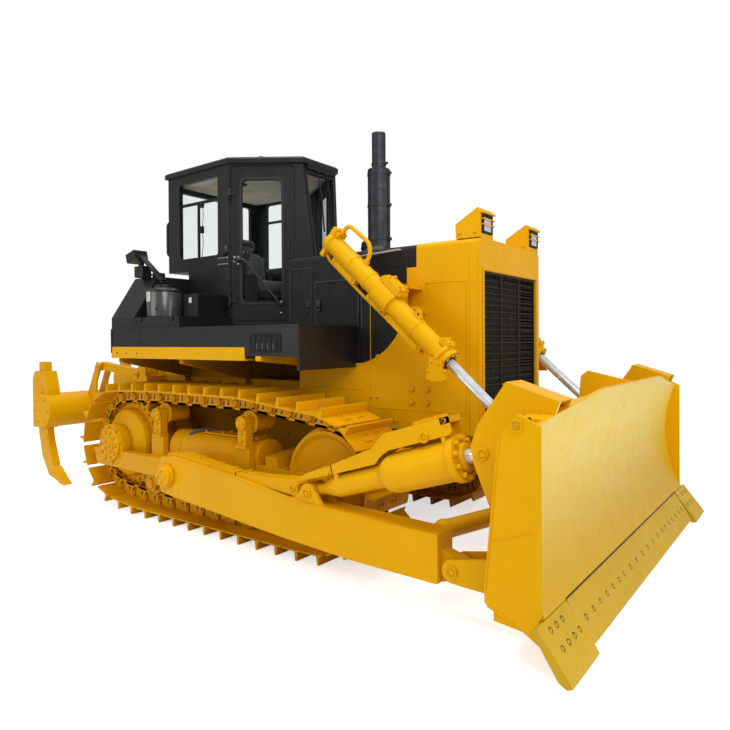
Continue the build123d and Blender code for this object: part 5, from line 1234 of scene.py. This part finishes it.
mesh = bmesh.new()
for sign in (-1, 1):
    out = Vector((0, sign, 0))
    for y in (0.34, 0.565):
        face = out if y > 0.5 else -out
        for x in (2.075, 2.205):
            bolt(mesh, (x, sign * y, 2.475), face, 0.02, 0.012)
    box(mesh, (2.236, 2.262), about(sign * pod_y, 0.112), (2.612, 2.628))
    for z in (2.53, 2.572):
        pipe(mesh, ((2.242, sign * pod_y - 0.09, z), (2.266, sign * pod_y - 0.09, z),
                    (2.266, sign * pod_y + 0.09, z), (2.242, sign * pod_y + 0.09, z)), 0.0045, 0.01, 8)
    pipe(mesh, ((2.06, sign * 0.45, 2.5), (2.02, sign * 0.45, 2.5), (2.01, sign * 0.45, 2.432)), 0.01, 0.03)
piece("pod_fittings", mesh, "yellow", bevel=0.0015)

# Exhaust: clamps and rain flap; pre-cleaner and filler on the cover's top

mesh = bmesh.new()
stack_x, stack = 1.07, Vector((1.07, -0.2, 0))
for z, radius in ((2.56, 0.1), (2.86, 0.1), (3.14, 0.1)):
    lathe(mesh, ((0, radius + 0.004), (0.024, radius + 0.004)), basis(stack + Vector((0, 0, z)), (0, 0, 1)),
          fine)
    box(mesh, (stack_x + radius, stack_x + radius + 0.03), (-0.212, -0.188), (z, z + 0.024))
lathe(mesh, ((0, 0.067), (0.018, 0.067)), basis(stack + Vector((0, 0, 3.235)), (0, 0, 1)), fine)
box(mesh, (1.13, 1.165), (-0.21, -0.19), (3.235, 3.253))
piece("exhaust_clamps", mesh, "soot_steel")
mesh = bmesh.new()
cleaner_place = basis((0.7, 0.2, 2.429), (0, 0, 1))
lathe(mesh, ((0, 0.062), (0.06, 0.062), (0.066, 0.1), (0.15, 0.112), (0.205, 0.104), (0.235, 0.06),
             (0.24, 0.0)), cleaner_place, fine)
disc(mesh, (1.45, 0.25, 2.429), (0, 0, 1), ((0, 0.05), (0.026, 0.05), (0.034, 0.04)), fine)
for z in (0.08, 0.11, 0.14):
    lathe(mesh, ((z, 0.108), (z + 0.006, 0.117), (z + 0.012, 0.108)), cleaner_place, fine)
piece("air_precleaner", mesh, "dull_black")

# Fenders: louvre, seams, step plates and clamps

for side, sign in sides:
    out = Vector((0, sign, 0))
    mesh = bmesh.new()
    face = 1.28
    rod(mesh, (-0.96, sign * face, 1.63), (-0.96, sign * face, 1.795), 0.0035, 6)
    for x in (-1.34, -1.01, -0.3, 0.3):
        bolt(mesh, (x, sign * face, 1.655), out, 0.016, 0.008)
    for x in (-1.339, -1.184, -1.012):
        lathe(mesh, ((0, 0.009), (0.0012, 0.009)), basis((x, sign * (face + 0.0002), 1.565), out), coarse)
    for x in (-1.435, 1.095):
        box(mesh, about(x, 0.004), span(sign, face - 0.001, face + 0.008), (1.565, 1.796))
    box(mesh, (-1.44, 1.1), span(sign, 1.262, 1.284), (1.786, 1.803))
    for i in range(9):
        y = 0.8 + 0.05 * i
        box(mesh, (-0.33, 1.06), span(sign, y, y + 0.01), (1.8, 1.8035))
    for i in range(18):
        x = -0.32 + 0.078 * i
        box(mesh, (x, x + 0.008), span(sign, 0.79, 1.225), (1.8, 1.803))
    piece(f"fender_trim_{side}", mesh, "black", bevel=0.001)

    mesh = bmesh.new()
    frame_band(mesh, (0.56, 0.905), (1.585, 1.735), 0.01, span(sign, face - 0.001, face + 0.006), 0.012)
    box(mesh, (0.566, 0.899), span(sign, face - 0.001, face + 0.0015), (1.591, 1.729))
    for i in range(5):
        x = 0.6 + 0.06 * i
        box(mesh, (x, x + 0.024), span(sign, face, face + 0.008), (1.6, 1.72))
    piece(f"fender_louvre_{side}", mesh, "dull_black")

    mesh = bmesh.new()
    for i in range(4):
        x = 0.632 + 0.06 * i
        box(mesh, (x, x + 0.014), span(sign, face, face + 0.0022), (1.612, 1.66))
    piece(f"fender_louvre_slots_{side}", mesh, "grey")

    # Beside the tank: an upright air reservoir, and a control box before the cab's wall
    reservoir_x, reservoir_y = -0.86, 1.075
    mesh = bmesh.new()
    upright = basis((reservoir_x, sign * reservoir_y, 1.903), (0, 0, 1))
    lathe(mesh, ((0, 0.15), (0.012, 0.162), (0.235, 0.162), (0.27, 0.148), (0.288, 0.11), (0.294, 0.06),
                 (0.294, 0.0)), upright, 40)
    piece(f"air_reservoir_{side}", mesh, "tank_grey")
    mesh = bmesh.new()
    lathe(mesh, ((0.288, 0.085), (0.312, 0.085), (0.316, 0.078), (0.316, 0.0)), upright, fine)
    collar(mesh, (0.246, 0.262), 0.15, 0.166, upright)
    facing = math.radians(-62)
    spot_out = Vector((math.cos(facing), sign * -math.sin(facing), 0))
    lathe(mesh, ((-0.004, 0.013), (0.003, 0.013)),
          basis(Vector((reservoir_x, sign * reservoir_y, 1.985)) + spot_out * 0.162, spot_out), coarse)
    box(mesh, (-0.655, -0.455), span(sign, 0.652, 1.0), (1.8, 2.125))
    piece(f"control_box_{side}", mesh, "black", bevel=0.004)
    mesh = bmesh.new()
    middle = Vector((reservoir_x, sign * reservoir_y, 0))
    label_turns = [math.radians(a) for a in (-130, -119, -108, -97, -86)]
    outer_ring = [middle + Vector((0.1632 * math.cos(a), -sign * 0.1632 * math.sin(a), 0))
                  for a in label_turns]
    inner_ring = [middle + (p - middle) * 0.99 for p in reversed(outer_ring)]
    loft(mesh, [[p + Vector((0, 0, z)) for p in outer_ring + inner_ring] for z in (2.055, 2.15)])
    box(mesh, (-0.58, -0.54), span(sign, 0.999, 1.002), (2.04, 2.09))
    piece(f"blank_labels_{side}", mesh, "pale")

    mesh = bmesh.new()
    frame_band(mesh, (-1.02, -0.4), (1.82, 1.892), 0.01, span(sign, 1.2745, 1.2785), 0.012)
    for x in (-0.95, -0.47):
        box(mesh, about(x, 0.02), span(sign, 1.274, 1.286), (1.862, 1.905))
    for x in (-0.9, -0.7, -0.5):
        bolt(mesh, (x, sign * 0.72, 1.905), (0, 0, 1), 0.02, 0.012)
    for z in (2.6, 2.95):
        lathe(mesh, ((0, 0.026), (0.006, 0.026)), basis((-1.385, sign * 0.6, z), (-1, 0, 0)), medium)
    piece(f"side_box_trim_{side}", mesh, "black", bevel=0.001)

# Rear tank: fillers, straps, bolts, a panel frame and rails

mesh = bmesh.new()
disc(mesh, (-1.25, -0.86, 2.3195), (0, 0, 1), ((0, 0.085), (0.014, 0.085), (0.014, 0.062), (0.05, 0.062),
                                               (0.06, 0.05)), fine)
box(mesh, (-1.262, -1.238), (-0.925, -0.795), (2.366, 2.384))
disc(mesh, (-1.25, 0.86, 2.3195), (0, 0, 1), ((0, 0.06), (0.012, 0.06), (0.03, 0.048)), fine)
for y in (-0.7, 0.7):
    box(mesh, (-1.448, -1.4395), about(y, 0.025), (1.81, 2.3))
for y in (-0.95, 0.95):
    for z in (1.86, 2.24):
        bolt(mesh, (-1.44, y, z), (-1, 0, 0), 0.022, 0.012)
frame_band(mesh, (-0.6, 0.6), (1.86, 2.26), 0.016, (-0.001, 0.006), 0.03, basis((-1.44, 0, 0), (0, 1, 0)))
for y in (-0.92, 0.92):
    rod(mesh, (-1.38, y, 2.3195), (-1.38, y, 2.36), 0.01)
    rod(mesh, (-1.12, y, 2.3195), (-1.12, y, 2.36), 0.01)
    rod(mesh, (-1.38, y, 2.36), (-1.12, y, 2.36), 0.01)
piece("rear_tank_fittings", mesh, "black", bevel=0.001)

# Hull: belly bolts, seam strips and side bolts

mesh = bmesh.new()
for x in (-1.3, -0.8, -0.3, 0.2, 0.6, 0.95):
    for y in (-0.34, 0.34):
        bolt(mesh, (x, y, 0.41), (0, 0, -1), 0.034, 0.018)
for x in (-0.05, 0.45):
    box(mesh, about(x, 0.004), (-0.43, 0.43), (0.404, 0.411))
for y in (-0.432, 0.432):
    for x in (-0.35, -0.1, 0.15):
        bolt(mesh, (x, y, 0.8), (0, math.copysign(1, y), 0), 0.03, 0.016)
piece("hull_bolts", mesh, "frame_yellow")

# Ripper: pin ends, shank pins, tooth tips, guards and hoses

ripper_y, cylinder_y, ear_offset = 0.55, 0.25, 0.082
shank_ys = (-1.05, 0.0, 1.05)
mesh = bmesh.new()
for sign in (-1, 1):
    for gap in (1, -1):
        y = sign * ripper_y + gap * ear_offset
        for z in (0.62, 1.305):
            pin_cap(mesh, (-2.0, y, z), (0, gap, 0), 0.04, 2)
        y = sign * cylinder_y + gap * 0.0705
        pin_cap(mesh, (-1.7, y, 1.67), (0, gap, 0), 0.038, 2)
for y in (-0.52, -0.26, 0.0, 0.26, 0.52):
    for z in (0.56, 1.2):
        bolt(mesh, (-1.84, y * 0.7, z), (-1, 0, 0), 0.034, 0.02)
piece("ripper_bracket_pins", mesh, "yellow")
mesh = bmesh.new()
for sign in (-1, 1):
    for gap in (-1, 1):
        y = sign * ripper_y + gap * ear_offset
        for z in (0.695, 1.38):
            pin_cap(mesh, (-2.8, y, z), (0, gap, 0), 0.04, 2)
        pin_cap(mesh, (-2.76, sign * cylinder_y + gap * 0.0965, 0.74), (0, gap, 0), 0.034, 2)
for y in shank_ys:
    for face in (-1, 1):
        for z in (0.82, 1.09):
            pin_cap(mesh, (-3.215, y + face * 0.071, z), (0, face, 0), 0.036, 1)
    frame_band(mesh, (-3.395, -3.07), (0.69, 0.735), 0.012, about(y, 0.074), 0.01)
for sign in (-1, 1):
    collar(mesh, (0, 0.02), 0.196, 0.204, basis((-3.13, sign * 0.66, 0.87), (0, 1, 0)))
    bolt_circle(mesh, (-3.13, sign * 1.16, 0.87), (0, sign, 0), 0.15, 6, 0.028, 0.016)
piece("ripper_beam_pins", mesh, "yellow", "ripper_beam", bevel=0.001)
mesh = bmesh.new()
for y in shank_ys:
    prism(mesh, ((-2.735, 0.0345), (-2.79, 0.0715), (-2.905, 0.16), (-2.985, 0.222), (-3.01, 0.14),
                 (-2.905, 0.07), (-2.835, 0.04)), about(y, 0.05))
    for face in (-1, 1):
        lathe(mesh, ((0, 0.016), (0.006, 0.016)), basis((-2.945, y + face * 0.0495, 0.15), (0, face, 0)),
              coarse)
    prism(mesh, ((-3.026, 0.27), (-2.998, 0.236), (-3.14, 0.58), (-3.162, 0.56)), about(y, 0.046))
piece("ripper_tips", mesh, "yellow", "ripper_beam", bevel=0.003)
mesh = bmesh.new()
for y in (-cylinder_y, cylinder_y):
    place = basis((-1.7, y, 1.67), (-1.06, 0, -0.93))
    collar(mesh, (0.884, 0.929), 0.06, 0.068, place)
    collar(mesh, (0.927, 0.936), 0.0345, 0.062, place)
    collar(mesh, (0.152, 0.184), 0.06, 0.068, place)
    box(mesh, (0.17, 0.215), (-0.026, 0.026), (0.058, 0.094), place)
    box(mesh, (0.82, 0.865), (-0.026, 0.026), (0.058, 0.094), place)
    pipe(mesh, [place @ Vector(p) for p in ((0.842, 0, 0.088), (0.842, 0, 0.112), (0.24, 0, 0.112),
                                            (0.24, 0, 0.088))], 0.012, 0.03)
    for x in (0.36, 0.66):
        collar(mesh, about(x, 0.012), 0.06, 0.067, place)
        box(mesh, about(x, 0.016), (-0.02, 0.02), (0.06, 0.106), place)
    ahead = place.to_3x3() @ Vector((1, 0, 0))
    for a, b in circle(6):
        bolt(mesh, place @ Vector((0.935, 0.052 * a, 0.052 * b)), ahead, 0.018, 0.01)
piece("ripper_barrel_fittings", mesh, "yellow", "ripper_barrels", bevel=0.001)

# Stage: a pale floor under a white surround, and soft studio light

floor_half, floor_drop, floor_glow = 40.0, 0.001, 0.64
world_light = 0.42
white = (1, 1, 1, 1)


def add_stage():
    """The floor, its white surround and the lamps."""
    material, nodes, links, shader = new_material("floor_paint")
    shade = noise(nodes, links, 0.6, 2.0)
    links.new(mix_colour(nodes, links, shade, (0.86, 0.86, 0.86, 1), (0.9, 0.9, 0.9, 1)),
              shader.inputs["Base Color"])
    shader.inputs["Roughness"].default_value = 0.9
    glow = nodes.new("ShaderNodeEmission")
    paths = nodes.new("ShaderNodeLightPath")
    seen = nodes.new("ShaderNodeMath")
    seen.operation = "MULTIPLY"
    links.new(paths.outputs["Is Camera Ray"], seen.inputs[0])
    seen.inputs[1].default_value = floor_glow
    links.new(seen.outputs[0], glow.inputs["Strength"])
    total = nodes.new("ShaderNodeAddShader")
    links.new(shader.outputs[0], total.inputs[0])
    links.new(glow.outputs[0], total.inputs[1])
    links.new(total.outputs[0], nodes["Material Output"].inputs["Surface"])
    mesh = bmesh.new()
    corners = ((-1, -1), (1, -1), (1, 1), (-1, 1))
    mesh.faces.new([mesh.verts.new((a * floor_half, b * floor_half, -floor_drop)) for a, b in corners])
    data = bpy.data.meshes.new("floor")
    mesh.to_mesh(data)
    mesh.free()
    floor = bpy.data.objects.new("floor", data)
    data.materials.append(material)
    scene.collection.objects.link(floor)

    world = bpy.data.worlds.new("surround")
    world.use_nodes = True
    scene.world = world
    nodes, links = world.node_tree.nodes, world.node_tree.links
    light = nodes["Background"]
    tune(light, {"Color": white, "Strength": world_light})
    shown = nodes.new("ShaderNodeBackground")
    tune(shown, {"Color": white})
    paths = nodes.new("ShaderNodeLightPath")
    seen = nodes.new("ShaderNodeMath")
    seen.operation = "MAXIMUM"
    for index, output in enumerate(("Is Camera Ray", "Is Transmission Ray")):
        links.new(paths.outputs[output], seen.inputs[index])
    choice = nodes.new("ShaderNodeMixShader")
    links.new(seen.outputs[0], choice.inputs["Fac"])
    links.new(light.outputs[0], choice.inputs[1])
    links.new(shown.outputs[0], choice.inputs[2])
    links.new(choice.outputs[0], nodes["World Output"].inputs["Surface"])

    for name, place, size, power, target in (
        ("sky_light", (1.0, -1.5, 10.0), 7.0, 620, (0.3, -0.3, 0.8)),
        ("key_light", (7.5, -6.0, 6.5), 5.0, 330, (0.8, -0.5, 1.2)),
        ("fill_light", (-4.0, -9.5, 4.0), 6.0, 190, (-0.5, -0.5, 1.2)),
        ("front_light", (11.0, 1.0, 3.5), 5.0, 240, (1.0, 0.0, 1.2)),
        ("back_light", (-7.0, 7.0, 7.0), 6.0, 240, (0.0, 0.0, 1.5)),
    ):
        data = bpy.data.lights.new(name, "AREA")
        data.shape, data.size, data.energy = "DISK", size, power
        lamp = bpy.data.objects.new(name, data)
        lamp.location = place
        lamp.rotation_euler = (Vector(target) - Vector(place)).to_track_quat("-Z", "Y").to_euler()
        scene.collection.objects.link(lamp)


add_stage()
